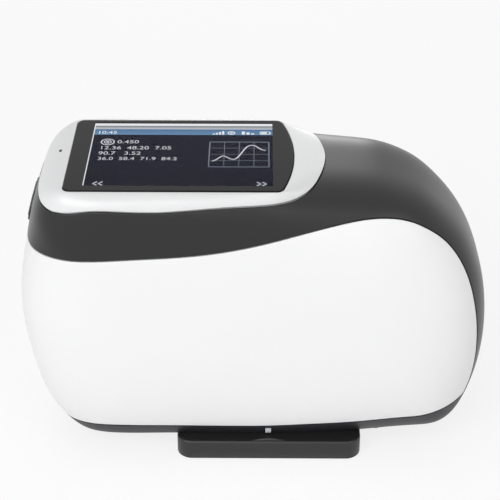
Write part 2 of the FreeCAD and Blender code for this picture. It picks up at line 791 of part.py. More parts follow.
# The screen end: bezel, glass, gasket, panel, bracket and the light pipe.
def makeScreen():
    crown = bezelForm("bezelCrown", "0", "seamGap")
    hollow = bezelForm("bezelHollow", "bezelWall", "0 - seamGap")
    recess = glassBody("glassRecess", "snugGap", "overrun")
    place(recess, "0", "0", ledgeTop)
    window = block("bezelWindow", ("-screenMiddle", "0", underside), ("screenLength + windowMargin * 2",
                                                                      "screenWidth + windowMargin * 2",
                                                                      "instrumentHeight * 2"))
    pipeHole = rod("pipeHole", ("-pipeAlong", "pipeAside", underside), "pipeRadius + snugGap",
                   "instrumentHeight * 2")
    bosses = [rod("bezelBoss%d" % index, (along, aside, bracketTop), "bezelBossRadius",
                  "bezelWall + panelThickness + snugGap - glassProud")
              for index, (along, aside) in enumerate(bezelBossPlaces())]
    holes = screws("bezelHole", bezelBossPlaces(), bezelScrewLow, bezelScrewReach, "snugGap")
    solid = join("bezelWithBosses", [cut("bezelShell", crown, [hollow])] + bosses)
    keep("screen_bezel", cut("bezel", solid, [window, recess, pipeHole] + holes))

    glass = glassBody("glass", "0", "glassThickness")
    keep("touch_glass", place(glass, "0", "0", glassLow))
    gasket = doc.addObject("PartDesign::Body", "gasketBody")
    outline = newSketch(gasket, "gasketOutline")
    drawRectangle(outline, ("-(glassLeft - glassRight) / 2", "0"),
                  ("glassLeft + glassRight - windowMargin * 2", "glassWidth - windowMargin * 2"))
    drawRectangle(outline, ("-screenMiddle", "0"),
                  ("screenLength + windowMargin * 2", "screenWidth + windowMargin * 2"))
    pad(gasket, outline, "gasketThickness")
    keep("glass_gasket", place(gasket, "0", "0", ledgeTop))

    panel = plate("lcd", ("panelLength", "panelWidth"), "panelThickness", corner="panelCorner")
    keep("display_panel", place(panel, panelMiddle, "0", panelLow))
    frame = plate("bracket", (bracketLength, bracketWidth), "bracketThickness", corner="bracketRim / 2",
                  window=(("0", "0"), (bracketLength + " - bracketRim * 2",
                                       bracketWidth + " - bracketRim * 2")))
    place(frame, bracketMiddle, "0", bracketLow)
    tabs = [block("bracketTab%d" % index, (along, aside, bracketLow), ("bracketTab", "bracketTab",
                                                                       "bracketThickness")) for index,
            (along, aside) in enumerate(bezelBossPlaces())]
    bracketHoles = [rod("bracketHole%d" % index, (along, aside, bracketLow), "screwShank + snugGap",
                        "bracketThickness") for index,
                    (along, aside) in enumerate(bezelBossPlaces() + standoffPlaces())]
    keep("display_bracket", cut("bracketPlate", join("bracketWithTabs", [frame] + tabs), bracketHoles))
    keep("bezel_screws", gather("bezelScrews", screws("bezelScrew", bezelBossPlaces(), bezelScrewLow,
                                                      bezelScrewReach)))
    keep("status_light_pipe", rod("lightPipe", ("-pipeAlong", "pipeAside", pipeLow), "pipeRadius",
                                  "pipeLength"))


panelMiddle = "(0 - screenMiddle - panelShift)"
bracketMiddle = "(0 - mainBoardMiddle)"
bracketLength = "(mainBoardLength - standoffInset * 2 + bracketRim)"
bracketWidth = "(mainBoardWidth - standoffInset * 2 + bracketRim)"
bezelScrewLow = bracketLow[:-1] + " - screwHeadHeight)"
bezelScrewReach = "panelThickness + screwHeadHeight"
bracketTop = bracketLow[:-1] + " + bracketThickness)"
pipeLow = "(standHeight + instrumentHeight - glassProud - pipeLength - glassThickness)"


def bezelBossPlaces():
    return fourPlaces(panelMiddle, "0", "panelLength / 2 + windowMargin / 2 + bezelBossRadius",
                      "bezelBossSpread")


# The glass: straight on three sides and bowed at the right-hand end.
def glassBody(name, growth, thickness):
    body = doc.addObject("PartDesign::Body", name + "Body")
    sketch = newSketch(body, name + "Outline")
    left = "-glassLeft - (%s)" % growth
    right = "glassRight"
    half = "(glassWidth / 2 + %s)" % growth
    bulge = "(glassBulge + %s)" % growth
    bow = "(%s ^ 2 + %s ^ 2) / (2 * %s)" % (half, bulge, bulge)
    corners = [(right, half), (left, half), (left, "-" + half), (right, "-" + half)]
    spots = [Vector(size(along), size(aside), 0) for along, aside in corners]
    tip = Vector(size("glassRight + " + bulge), 0, 0)
    for here, there in zip(spots, spots[1:]):
        sketch.addGeometry(Part.LineSegment(here, there), False)
    arc = sketch.addGeometry(Part.Arc(spots[3], tip, spots[0]), False)
    for line in range(3):
        if line < 2:
            sketch.addConstraint(Sketcher.Constraint("Coincident", line, 2, line + 1, 1))
        pin(sketch, line, 1, corners[line])
    pin(sketch, 2, 2, corners[3])
    sketch.addConstraint(Sketcher.Constraint("Coincident", arc, 1, 2, 2))
    sketch.addConstraint(Sketcher.Constraint("Coincident", arc, 2, 0, 1))
    index = sketch.addConstraint(Sketcher.Constraint("Radius", arc, size(bow)))
    sketch.setExpression("Constraints[%d]" % index, rule(bow))
    pad(body, sketch, thickness)
    roundEdges(body, name + "Corners", lambda edge: isUpright(edge) and edge.CenterOfMass.x < 0,
               "glassCorner")
    return body


# The measure key on the left end: its pieces share one tilted frame, with Z out of the housing.
def tilted(piece, out):
    turn(piece, acrossY, "buttonTilt - 90")
    return place(piece, "-buttonReach - cos(buttonTilt) * (%s)" % out, "0",
                 "standHeight + buttonHeightAbove + sin(buttonTilt) * (%s)" % out)


def ringBlank(name, growth, depth):
    body = plate(name, ("buttonWidth + (fitGap + ringRim + %s) * 2" % growth,
                        "buttonLength + (fitGap + ringRim + %s) * 2" % growth), depth,
                 corner="buttonWidth / 2 + fitGap + ringRim + %s - snugGap" % growth)
    return tilted(body, "-ringDepth + fitGap")


def tiltedRod(name, aside, out, radius, reach):
    bar = rod(name, ("0", "0", "0"), radius, reach)
    tilted(bar, out)
    bar.setExpression("Placement.Base.y", rule(aside))
    return bar


buttonLow = "(buttonProud - buttonThickness)"
buttonBoardTop = "(buttonProud - buttonThickness - stemLength - buttonTravel - snugGap - switchDepth)"


def buttonBosses():
    return [tiltedRod("buttonBoss%d" % index, "%d * buttonBossSpread" % side, buttonBoardTop,
                      "buttonBossRadius", "-" + buttonBoardTop + " - shellWall")
            for index, side in enumerate((-1, 1))]


def makeButton():
    ring = ringBlank("ring", "0", "ringDepth")
    opening = plate("ringOpening", ("buttonWidth + fitGap * 2", "buttonLength + fitGap * 2"), "overrun",
                    corner="buttonWidth / 2 + fitGap - snugGap")
    tilted(opening, "-overrun / 2")
    keep("button_ring", cut("buttonRing", ring, [opening]))
    cap = plate("buttonCap", ("buttonWidth", "buttonLength"), "buttonThickness",
                corner="buttonWidth / 2 - snugGap")
    roundEdges(cap, "buttonCapEdge", lambda edge: edge.BoundBox.ZMin > cap.Shape.BoundBox.ZMax - sameHeight,
               "buttonEdge")
    tilted(cap, buttonLow)
    stem = tiltedRod("buttonStem", "0", buttonLow + " - stemLength", "stemRadius", "stemLength + buttonProud")
    keep("measure_button", join("button", [cap, stem]))
    switch = plate("keySwitch", ("switchSide", "switchSide"), "switchDepth", corner="snugGap * 2")
    keep("measure_switch", tilted(switch, buttonBoardTop))
    board = plate("buttonBoard", ("buttonBoardWidth", "buttonBoardLength"), "boardThickness",
                  corner="windowMargin")
    keep("button_board", tilted(board, buttonBoardTop + " - boardThickness"))


# The recessed socket bay in the right-hand end.
def trayBlock(name, growth):
    return block(name, ("bayFloorAlong - trayWall + instrumentLength / 4 - (%s) + trayWall" % growth, "0",
                        "standHeight + bayLow - (%s)" % growth),
                 ("instrumentLength / 2", "bayWidth + 2 * (%s)" % growth,
                  "bayHigh - bayLow + 2 * (%s)" % growth))


socketTip = "(bayFloorAlong + socketProud)"


def makeSockets():
    trim = housingForm("trayTrim", "trayInset")
    shell = overlapOf("trayShell", [trayBlock("trayBar", "trayWall"), trim])
    inside = block("trayInside", ("bayFloorAlong + instrumentLength / 4", "0", "standHeight + bayLow"),
                   ("instrumentLength / 2", "bayWidth", "bayHigh - bayLow"))
    usbMiddle = "-usbAside"
    usbLow = "standHeight + socketLift"
    usbSlot = block("usbSlot", (socketTip + " - usbDepth / 2", usbMiddle, usbLow + " - snugGap"),
                    ("usbDepth", "usbWidth + snugGap * 2", "usbHeight + snugGap * 2"))
    jackSlot = block("jackSlot", (socketTip + " - jackDepth / 2", "jackAside", usbLow + " - snugGap"),
                     ("jackDepth", "jackWidth + snugGap * 2", "usbHeight + snugGap * 2"))
    knobMiddle = "standHeight + switchLift"
    knobSlot = block("knobSlot", ("bayFloorAlong", "switchAside", knobMiddle + " - knobHeight / 2 - snugGap"),
                     ("trayWall * 4", "knobWidth + knobTravel + snugGap * 2", "knobHeight + snugGap * 2"))
    keep("socket_tray", cut("tray", shell, [inside, usbSlot, jackSlot, knobSlot]))

    usb = block("usbBlock", (socketTip + " - usbDepth / 2", usbMiddle, usbLow),
                ("usbDepth", "usbWidth", "usbHeight"))
    cavity = block("usbCavity", (socketTip + " - usbDepth / 2 + usbWall", usbMiddle, usbLow + " + usbWall"),
                   ("usbDepth", "usbWidth - usbWall * 2", "usbHeight - usbWall * 2"))
    tongue = block("usbTongue", (socketTip + " - usbDepth / 2 - socketProud", usbMiddle,
                                 usbLow + " + usbHeight / 2 - usbTongueHeight / 2"),
                   ("usbDepth - usbWall", "usbTongueWidth", "usbTongueHeight"))
    keep("usb_socket", join("usbSocket", [cut("usbCan", usb, [cavity]), tongue]))
    jack = block("jackBlock", (socketTip + " - jackDepth / 2", "jackAside", usbLow),
                 ("jackDepth", "jackWidth", "usbHeight"))
    jackUp = usbLow + " + usbHeight / 2"
    bore = rod("jackHole", (socketTip + " - jackDepth + trayWall", "jackAside", jackUp), "jackBore",
               "jackDepth", along="x")
    jackPin = rod("jackPinRod", (socketTip + " - jackDepth + trayWall / 2", "jackAside", jackUp), "jackPin",
                  "jackDepth - trayWall", along="x")
    keep("power_socket", join("powerSocket", [cut("jackShell", jack, [bore]), jackPin]))

    low = knobMiddle + " - switchHeight / 2"
    body = block("switchBlock", ("bayFloorAlong - trayWall - switchDeep / 2", "switchAside", low),
                 ("switchDeep", "switchWidth", "switchHeight"))
    channel = block("switchChannel", ("bayFloorAlong - trayWall - trayWall / 2", "switchAside",
                                      knobMiddle + " - knobHeight / 2 - snugGap"),
                    ("trayWall * 2", "knobWidth + knobTravel + snugGap * 2", "knobHeight + snugGap * 2"))
    keep("power_switch_body", cut("switchBody", body, [channel]))
    knob = block("knobBlock", ("bayFloorAlong + knobProud / 2 - trayWall", "switchAside - knobTravel / 2",
                               knobMiddle + " - knobHeight / 2"),
                 ("trayWall * 2 + knobProud", "knobWidth", "knobHeight"))
    keep("power_switch_knob", knob)

    boardMiddle = "(bayFloorAlong - trayWall - snugGap - connectorBoardLength / 2)"
    board = plate("connectorBoard", ("connectorBoardLength", "connectorBoardWidth"), "boardThickness",
                  corner="windowMargin",
                  holes=[((along + " - " + boardMiddle, aside), "screwShank + snugGap")
                         for along, aside in boardBossPlaces()])
    keep("connector_board", place(board, boardMiddle, "0", "standHeight + socketLift - boardThickness"))


radioMiddle = "(mainBoardLength / 2 - mainBoardMiddle - radioLength - windowMargin)"


def standoffPlaces():
    return fourPlaces("-mainBoardMiddle", "0", "mainBoardLength / 2 - standoffInset",
                      "mainBoardWidth / 2 - standoffInset")


def makeBoards():
    holes = [((along + " + mainBoardMiddle", aside), "screwShank + snugGap") for along,
             aside in standoffPlaces()]
    board = plate("mainBoard", ("mainBoardLength", "mainBoardWidth"), "boardThickness",
                  corner="windowMargin", holes=holes)
    keep("main_board", place(board, "-mainBoardMiddle", "0", mainBoardLow))
    top = mainBoardLow[:-1] + " + boardThickness)"
    posts = [rod("standoff%d" % index, (along, aside, top), "standoffRadius", "mainBoardDrop")
             for index, (along, aside) in enumerate(standoffPlaces())]
    bores = [rod("standoffBore%d" % index, (along, aside, top), "screwShank + snugGap", "mainBoardDrop")
             for index, (along, aside) in enumerate(standoffPlaces())]
    keep("board_standoffs", gather("standoffs", [cut("standoffTube%d" % index, post, [bore])
                                                 for index, (post, bore) in enumerate(zip(posts, bores))]))
    keep("board_screws", gather("boardScrews", screws("boardScrew", standoffPlaces(),
                                                      mainBoardLow + " - screwHeadHeight",
                                                      "mainBoardDrop / 2 + screwHeadHeight + boardThickness")))
    can = block("shieldBox", ("-mainBoardMiddle - shieldLength / 2", "0", top),
                ("shieldLength", "shieldWidth", "shieldHeight"))
    inside = block("shieldInside", ("-mainBoardMiddle - shieldLength / 2", "0", top + " - shieldSheet"),
                   ("shieldLength - shieldSheet * 2", "shieldWidth - shieldSheet * 2", "shieldHeight"))
    keep("shield_can", cut("shieldCan", can, [inside]))
    keep("processor_chip", block("chipBlock", ("-mainBoardMiddle - shieldLength / 2", "0", top),
                                 ("shieldLength / 2", "shieldWidth / 2", "chipHeight")))
    keep("radio_module", block("radioBlock", (radioMiddle, "0", top),
                               ("radioLength", "radioWidth", "shieldHeight")))
    keep("buzzer", rod("buzzerRod", (radioMiddle, "mainBoardWidth / 4",
                                     mainBoardLow + " - buzzerHeight"), "buzzerRadius", "buzzerHeight"))
    headers = [block("header%d" % index, ("-mainBoardMiddle - mainBoardLength / 4",
                                          "%d * mainBoardWidth / 4" % side,
                                          mainBoardLow + " - headerHeight"),
                     ("headerHeight * 3", "headerHeight", "headerHeight")) for index,
               side in enumerate((-1, 1))]
    keep("board_headers", gather("headers", headers))


def makeBattery():
    tray = plate("cellTray", ("batteryLength + (fitGap + cellTrayWall) * 2",
                              "batteryWidth + (fitGap + cellTrayWall) * 2"), "cellTrayHeight",
                 corner="batteryCorner")
    well = newSketch(tray, "cellTrayWell", lift="cellTrayHeight")
    drawRectangle(well, ("0", "0"), ("batteryLength + fitGap * 2", "batteryWidth + fitGap * 2"))
    pocket(tray, well, "cellTrayHeight - cellTrayWall")
    keep("battery_tray", place(tray, "-batteryMiddle", "0", floorTop))
    pack = plate("battery", ("batteryLength", "batteryWidth"), "batteryHeight", corner="batteryCorner")
    keep("battery_pack", place(pack, "-batteryMiddle", "0", floorTop + " + cellTrayWall"))


def makeOptics():
    outerRadius = "(sphereRadius + sphereWall)"
    ball = doc.addObject("Part::Sphere", "sphereBall")
    ball.setExpression("Radius", rule(outerRadius))
    place(ball, "portAlong", "0", sphereMiddle)
    hollow = doc.addObject("Part::Sphere", "sphereHollow")
    hollow.setExpression("Radius", rule("sphereRadius"))
    place(hollow, "portAlong", "0", sphereMiddle)
    lowerHalf = block("lowerHalf", ("portAlong", "0", sphereMiddle + " - flangeRadius * 2"),
                      ("flangeRadius * 4", "flangeRadius * 4", "flangeRadius * 2"))
    upperHalf = block("upperHalf", ("portAlong", "0", sphereMiddle),
                      ("flangeRadius * 4", "flangeRadius * 4", "flangeRadius * 2"))
    lowFlange = rod("lowFlange", ("portAlong", "0", deckTop), "flangeRadius", "flangeThickness")
    neck = rod("neck", ("portAlong", "0", portPlateTop), "neckRadius", "neckThickness")
    port = rod("spherePort", ("portAlong", "0", underside), "portDishRadius", "sphereRadius")
    lower = join("lowerBody", [overlapOf("lowerBall", [ball, lowerHalf]), lowFlange, neck])
    flangeHoles = [rod("flangeHole%d" % index, (along, aside, deckLow), "screwShank + snugGap",
                       "flangeRadius") for index, (along, aside) in enumerate(flangePlaces())]
    portScrewCut = screws("portHole", portScrewPlaces(), portPlateLow + " + snugGap", portScrewReach,
                          "snugGap")
    keep("sphere_lower", cut("sphereLower", lower, [hollow, port] + flangeHoles + portScrewCut))
    topFlange = rod("topFlange", ("portAlong", "0", sphereMiddle), "flangeRadius", "flangeThickness")
    rim = cut("rim", rod("rimOuter", ("portAlong", "0", sphereMiddle), "flangeRadius",
                         "flangeThickness + rimHeight"),
              [rod("rimInner", ("portAlong", "0", sphereMiddle), "flangeRadius - rimWidth",
                   "flangeThickness + rimHeight")])
    upper = join("upperBody", [overlapOf("upperBall", [ball, upperHalf]), topFlange, rim])
    viewHole = viewRod("viewHole", "sphereRadius / 2", "viewRadius + tubeWall + snugGap", "sphereRadius")
    keep("sphere_upper", cut("sphereUpper", upper, [hollow, viewHole] + flangeHoles))
    keep("sphere_screws",
         gather("sphereScrews", [rod("sphereScrew%d" % index, (along, aside, deckTop), "screwShank",
                                     "flangeThickness * 2 + screwHeadHeight") for index,
                                 (along, aside) in enumerate(flangePlaces())]))

    dish = turned("portPlate", [("portRadius", "0"), ("portWellRadius - fitGap", "0"),
                                ("portWellRadius - fitGap", "portPlateThickness"),
                                ("portDishRadius", "portPlateThickness")])
    place(dish, "portAlong", "0", portPlateLow)
    keep("aperture_plate", cut("aperturePlate", dish, screws("apertureHole", portScrewPlaces(),
                                                             portPlateLow, portScrewReach, "snugGap")))
    keep("aperture_screws", gather("apertureScrews", screws("apertureScrew", portScrewPlaces(),
                                                            portPlateLow, portScrewReach)))

    deck = plate("deck", ("deckLength", "deckWidth"), "deckThickness", corner="legRadius",
                 holes=[(("0", "0"), outerRadius + " + fitGap")])
    place(deck, "portAlong", "0", deckLow)
    legs = [rod("leg%d" % index, (along, aside, floorTop), "legRadius", deckLow + " - " + floorTop)
            for index, (along, aside) in enumerate(deckPlaces())]
    keep("optics_deck", cut("opticsDeck", join("deckWithLegs", [deck] + legs),
                            screws("legHole", deckPlaces(), screwLow, "lugLift",
                                   "snugGap") + [rod("deckScrewHole%d" % index, (along, aside, deckLow),
                                                     "screwShank + snugGap", "deckThickness") for index,
                                                 (along, aside) in enumerate(flangePlaces())]))
    keep("deck_screws", gather("deckScrews", screws("deckScrew", deckPlaces(), screwLow, "lugLift - fitGap")))
    columns = [rod("column%d" % index, (along, aside, deckTop), "columnRadius", boxLow + " - " + deckTop)
               for index, (along, aside) in enumerate(columnPlaces())]
    keep("optics_columns", gather("opticsColumns", columns))

    ledBoard = turned("ledBoard", [(outerRadius, "0"), ("flangeRadius", "0"),
                                   ("flangeRadius", "boardThickness"), (outerRadius, "boardThickness")])
    keep("lamp_board", place(ledBoard, "portAlong", "0", lampBoardLow))
    keep("lamp_leds", gather("lamps", ledBlocks()))
    keep("view_tube", cut("viewTube", viewRod("viewTubeRod", "sphereRadius + snugGap",
                                              "viewRadius + tubeWall", viewReach),
                          [viewRod("viewBore", "sphereRadius / 2", "viewRadius", "sphereRadius * 2")]))
    keep("objective_lens", viewRod("lensDisc", "sphereRadius + sphereWall", "viewRadius - snugGap / 3",
                                   "lensThickness"))
    makeSpectrometer()


def makeSpectrometer():
    box = plate("spectrometerBox", ("boxLength", "boxWidth"), "boxHeight", corner="boxWall")
    well = newSketch(box, "spectrometerWell", lift="boxHeight")
    drawRectangle(well, ("0", "0"), ("boxLength - boxWall * 2", "boxWidth - boxWall * 2"))
    pocket(box, well, "boxHeight - boxWall")
    slitHole = newSketch(box, "slitHole", lift="boxWall")
    drawCircle(slitHole, ("tan(viewTilt) * (%s - %s)" % (boxLow, sphereMiddle), "0"), "viewRadius")
    pocket(box, slitHole, "boxWall")
    place(box, "portAlong", "0", boxLow)
    spacers = [rod("driverSpacer%d" % index, ("portAlong + boxLength / 2", "%d * boxWidth / 3" % side,
                                              boxLow + " + boxHeight / 2"), "driverSpacerRadius",
                   "driverSpacer", along="x") for index, side in enumerate((-1, 1))]
    keep("spectrometer_housing", join("spectrometerBoxWithSpacers", [box] + spacers))
    lid = plate("spectrometerLid", ("boxLength", "boxWidth"), "boxWall", corner="boxWall")
    keep("spectrometer_lid", place(lid, "portAlong", "0", boxLow + " + boxHeight"))
    slit = cut("slit", rod("slitDisc", (slitAlong, "0", boxFloor), "slitPlateRadius", "boxWall / 2"),
               [block("slitLine", (slitAlong, "0", boxFloor), ("slitWidth", "slitPlateRadius",
                                                               "boxWall / 2"))])
    keep("entrance_slit", slit)
    keep("grating", block("gratingBlock", ("portAlong + boxLength / 2 - boxWall - gratingDepth / 2", "0",
                                           boxFloor), ("gratingDepth", "gratingSide", "gratingSide")))
    keep("line_sensor",
         block("sensorBlock", ("portAlong - boxLength / 2 + boxWall + boardThickness + sensorDepth / 2",
                               "0", boxFloor + " + sensorHeight / 2"), ("sensorDepth", "sensorLength",
                                                                        "sensorHeight")))
    keep("sensor_board",
         block("sensorBoardBlock", ("portAlong - boxLength / 2 + boxWall + boardThickness / 2", "0",
                                    boxFloor), ("boardThickness", "boxWidth - boxWall * 2 - fitGap * 2",
                                                "boxHeight - boxWall - fitGap")))
    keep("lamp_driver_board",
         block("driverBoard", ("portAlong + boxLength / 2 + driverSpacer + boardThickness / 2", "0",
                               boxLow + " + boxHeight / 2 - driverBoardHeight / 2"),
               ("boardThickness", "boxWidth - boxWall * 2", "driverBoardHeight")))


lampBoardLow = sphereMiddle[:-1] + " + flangeThickness + rimHeight)"
slitAlong = "(portAlong + tan(viewTilt) * (%s - %s))" % (boxFloor, sphereMiddle)
viewSpan = "(%s - %s) / cos(viewTilt)" % (boxLow, sphereMiddle)
viewReach = "(%s - (viewRadius + tubeWall) * tan(viewTilt) - fitGap - sphereRadius - snugGap)" % viewSpan
portScrewReach = "portPlateThickness + neckThickness - snugGap * 2"
ledCount = 8
flangeScrewCount = 6
portScrewCount = 3


# Evenly spaced places on a circle about the port's axis.
def ringPlaces(count, radius):
    return [("portAlong + %s * cos(%g)" % (radius, 360 * (index + 0.5) / count),
             "%s * sin(%g)" % (radius, 360 * (index + 0.5) / count)) for index in range(count)]


def flangePlaces():
    return ringPlaces(flangeScrewCount, "((sphereRadius + sphereWall + flangeRadius - rimWidth) / 2)")


def portScrewPlaces():
    return ringPlaces(portScrewCount, "((portDishRadius + neckRadius) / 2)")


def columnPlaces():
    return fourPlaces("portAlong", "0", "columnSpreadLong", "columnSpreadWide")


def ledBlocks():
    radius = "(flangeRadius - rimWidth - ledSide)"
    return [block("lamp%d" % index, (along, aside, lampBoardLow + " - ledHeight"),
                  ("ledSide", "ledSide", "ledHeight")) for index,
            (along, aside) in enumerate(ringPlaces(ledCount, radius))]


# A rod on the viewing axis, which leans from the sphere's middle towards the right.
def viewRod(name, start, radius, reach):
    bar = rod(name, ("0", "0", "0"), radius, reach)
    turn(bar, acrossY, "viewTilt")
    return place(bar, "portAlong + sin(viewTilt) * (%s)" % start, "0",
                 sphereMiddle + " + cos(viewTilt) * (%s)" % start)


def makeBase():
    base = plate("base", ("baseLength", "baseWidth"), "standHeight - padProud", corner="baseCorner")
    low = base.Shape.BoundBox.ZMin
    roundEdges(base, "baseLowEdge", lambda edge: edge.BoundBox.ZMax < low + sameHeight, "baseEdge")
    high = base.Shape.BoundBox.ZMax
    roundEdges(base, "baseHighEdge", lambda edge: edge.BoundBox.ZMin > high - sameHeight, "baseBrow")
    place(base, "portAlong", "0", "padProud")
    ridge = rod("ridgeRound", ("portAlong", "-baseWidth / 2 + baseBrow",
                               underside + " + ridgeHeight - ridgeRound"), "ridgeRound", "ridgeDepth",
                along="y")
    ridgeTrim = block("ridgeTrim", ("portAlong", "0", underside + " - ridgeHeight"),
                      ("ridgeLength", "baseWidth", "ridgeHeight * 2"))
    ring = rod("tileRing", ("portAlong", "0", "standHeight / 2"), "tileRadius + retainerRim",
               "standHeight / 2 + tileStep")
    pocketRod = rod("tilePocket", ("portAlong", "0", tileLow), "tileRadius + snugGap", "standHeight")
    padPocket = block("padPocket", ("portAlong", "0", "0"), (padLength, padWidth, "padThickness"))
    screwCut = screws("baseHole", basePlaces(), "padThickness", "standHeight / 2", "snugGap")
    keep("calibration_base",
         cut("calibrationBase", join("baseWithRing", [base, ring, overlapOf("ridge", [ridge, ridgeTrim])]),
             [pocketRod, padPocket] + screwCut))
    keep("white_tile", turned("tile", [("0", "0"), ("tileRadius", "0"), ("tileRadius", "tileThickness"),
                                       ("0", "tileThickness")]))
    place(pieces["white_tile"], "portAlong", "0", tileLow)
    retainer = turned("retainer", [("tileRadius - retainerRim / 3", "0"), ("tileRadius + retainerRim", "0"),
                                   ("tileRadius + retainerRim", "retainerThickness"),
                                   ("tileRadius - retainerRim / 3", "retainerThickness")])
    keep("tile_retainer", place(retainer, "portAlong", "0", "standHeight + tileStep"))
    rubber = plate("rubberPad", (padLength, padWidth), "padThickness", corner="baseCorner - snugGap")
    keep("base_pad", place(rubber, "portAlong", "0", "0"))
    keep("base_screws", gather("baseScrews", screws("baseScrew", basePlaces(), "padThickness",
                                                    "standHeight / 2 - snugGap")))


tileLow = "(standHeight + tileStep - tileThickness)"
padLength = "(baseLength - padMargin * 2)"
padWidth = "(baseWidth - padMargin * 2)"


def basePlaces():
    return fourPlaces("portAlong", "0", "baseLength / 2 - padMargin * 2", "baseWidth / 2 - padMargin * 2")


def makeMark():
    trim = housingForm("markForm", "0 - markProud")
    core = housingForm("markCore", "0")
    bar = block("markBar", ("portAlong", "-instrumentWidth / 4 - overrun / 2",
                            underside + " + markHeight / 3"), ("markLength", "instrumentWidth / 2",
                                                               "markHeight"))
    keep("port_mark", cut("portMark", overlapOf("markSlab", [trim, bar]), [core]))


# Screws that hold the side shells to the bottom cover.
def makeFixings():
    keep("shell_screws", gather("shellScrews", screws("shellScrew", lugPlaces(), screwLow,
                                                      "lugLift + lugHeight / 2")))


def checkAndWrite():
    doc.recompute()
    for item in doc.Objects:
        bad = [state for state in item.State if state in ("Invalid", "Error")]
        if bad:
            raise ValueError("%s is %s" % (item.Label, bad))
    os.makedirs("parts", exist_ok=True)
    for name, piece in pieces.items():
        shape = piece.Shape
        if shape.isNull() or not shape.isValid() or not shape.Solids:
            raise ValueError(name + " has no valid shape")
        shape.exportStep("parts/%s.step" % name)
        print("%-24s %2d solids %10.1f mm3" % (name, len(shape.Solids), shape.Volume))


fillSheet()
makeShells()
makeScreen()
makeButton()
makeSockets()
makeBoards()
makeBattery()
makeOptics()
makeBase()
makeMark()
makeFixings()
checkAndWrite()
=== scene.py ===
import json
import math
import bmesh
import bpy
import numpy as np
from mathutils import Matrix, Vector


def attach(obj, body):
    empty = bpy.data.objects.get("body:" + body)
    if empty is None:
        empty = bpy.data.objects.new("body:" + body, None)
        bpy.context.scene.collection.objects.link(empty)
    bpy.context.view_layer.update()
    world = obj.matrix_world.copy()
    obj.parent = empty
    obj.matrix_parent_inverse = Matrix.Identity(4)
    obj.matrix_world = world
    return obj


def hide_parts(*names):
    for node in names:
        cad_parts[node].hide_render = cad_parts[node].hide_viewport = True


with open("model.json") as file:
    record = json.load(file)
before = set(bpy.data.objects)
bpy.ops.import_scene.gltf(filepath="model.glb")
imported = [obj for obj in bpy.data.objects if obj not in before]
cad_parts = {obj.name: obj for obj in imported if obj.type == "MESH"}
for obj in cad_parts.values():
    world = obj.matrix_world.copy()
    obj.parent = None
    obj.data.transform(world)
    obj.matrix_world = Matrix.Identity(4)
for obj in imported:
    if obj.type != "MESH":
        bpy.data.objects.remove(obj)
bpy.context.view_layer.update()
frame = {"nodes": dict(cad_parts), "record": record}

mm = 0.001
scene = bpy.context.scene
scene.view_settings.view_transform = "Standard"

print("stage: view")
view = {
    "target": (-1.9, 0.0, 77.1),  # mm, what the camera looks at
    "distance": 595.6,  # mm
    "azimuth": 0.44,  # degrees to the right of straight on
    "elevation": 30.5,
    "focalPixels": 1532,  # for a picture as wide as the next value
    "pictureWidth": 500,
    "sensor": 36,
    "clipStart": 0.01,  # m
}


def newObject(name, data):
    made = bpy.data.objects.new(name, data)
    scene.collection.objects.link(made)
    return made


def aimed(way):
    # the turn with which a camera or a lamp looks along a way
    return way.to_track_quat("-Z", "Y").to_euler()


def makeCamera():
    camera = newObject("camera", bpy.data.cameras.new("camera"))
    azimuth, elevation = math.radians(view["azimuth"]), math.radians(view["elevation"])
    away = Vector((math.sin(azimuth) * math.cos(elevation), -math.cos(azimuth) * math.cos(elevation),
                   math.sin(elevation)))
    camera.location = Vector(view["target"]) * mm + away * view["distance"] * mm
    camera.rotation_euler = aimed(-away)
    camera.data.sensor_width = view["sensor"]
    camera.data.lens = view["sensor"] * view["focalPixels"] / view["pictureWidth"]
    camera.data.clip_start = view["clipStart"]
    scene.camera = camera


makeCamera()

print("stage: finishes")
finishes = {}


def feed(tree, source, socket):
    # links an output to a socket, or sets the socket's own value
    if isinstance(source, bpy.types.NodeSocket):
        tree.links.new(source, socket)
    else:
        socket.default_value = source


def addNode(tree, kind, inputs=None, **settings):
    node = tree.nodes.new(kind)
    for name, value in settings.items():
        setattr(node, name, value)
    for label, source in (inputs or {}).items():
        feed(tree, source, node.inputs[label])
    return node


def mathNode(tree, operation, first, second):
    return addNode(tree, "ShaderNodeMath", {0: first, 1: second}, operation=operation).outputs[0]


def plus(tree, first, second):
    return mathNode(tree, "ADD", first, second)


def minus(tree, first, second):
    return mathNode(tree, "SUBTRACT", first, second)


def times(tree, first, second):
    return mathNode(tree, "MULTIPLY", first, second)


def noiseNode(tree, spot, scale, detail, roughness=0.5):
    inputs = {"Vector": spot, "Scale": scale, "Detail": detail, "Roughness": roughness}
    return addNode(tree, "ShaderNodeTexNoise", inputs).outputs["Fac"]


def ownSpace(tree):
    return addNode(tree, "ShaderNodeTexCoord").outputs["Object"]


def mixNode(tree, share, first, second, blend="MIX"):
    inputs = {"Factor": share, "A": first, "B": second}
    return addNode(tree, "ShaderNodeMix", inputs, data_type="RGBA", blend_type=blend).outputs["Result"]


def newGroup(name, inputs):
    # a shader group that gives a colour, a roughness and a height
    group = bpy.data.node_groups.new(name, "ShaderNodeTree")
    for label, value in inputs.items():
        kind = "NodeSocketColor" if isinstance(value, tuple) else "NodeSocketFloat"
        group.interface.new_socket(name=label, in_out="INPUT", socket_type=kind).default_value = value
    for label, kind in (("Colour", "Color"), ("Roughness", "Float"), ("Height", "Float")):
        group.interface.new_socket(name=label, in_out="OUTPUT", socket_type="NodeSocket" + kind)
    return group, addNode(group, "NodeGroupInput").outputs


def closeGroup(group, colour, roughness, height):
    addNode(group, "NodeGroupOutput", {"Colour": colour, "Roughness": roughness, "Height": height})
    return group


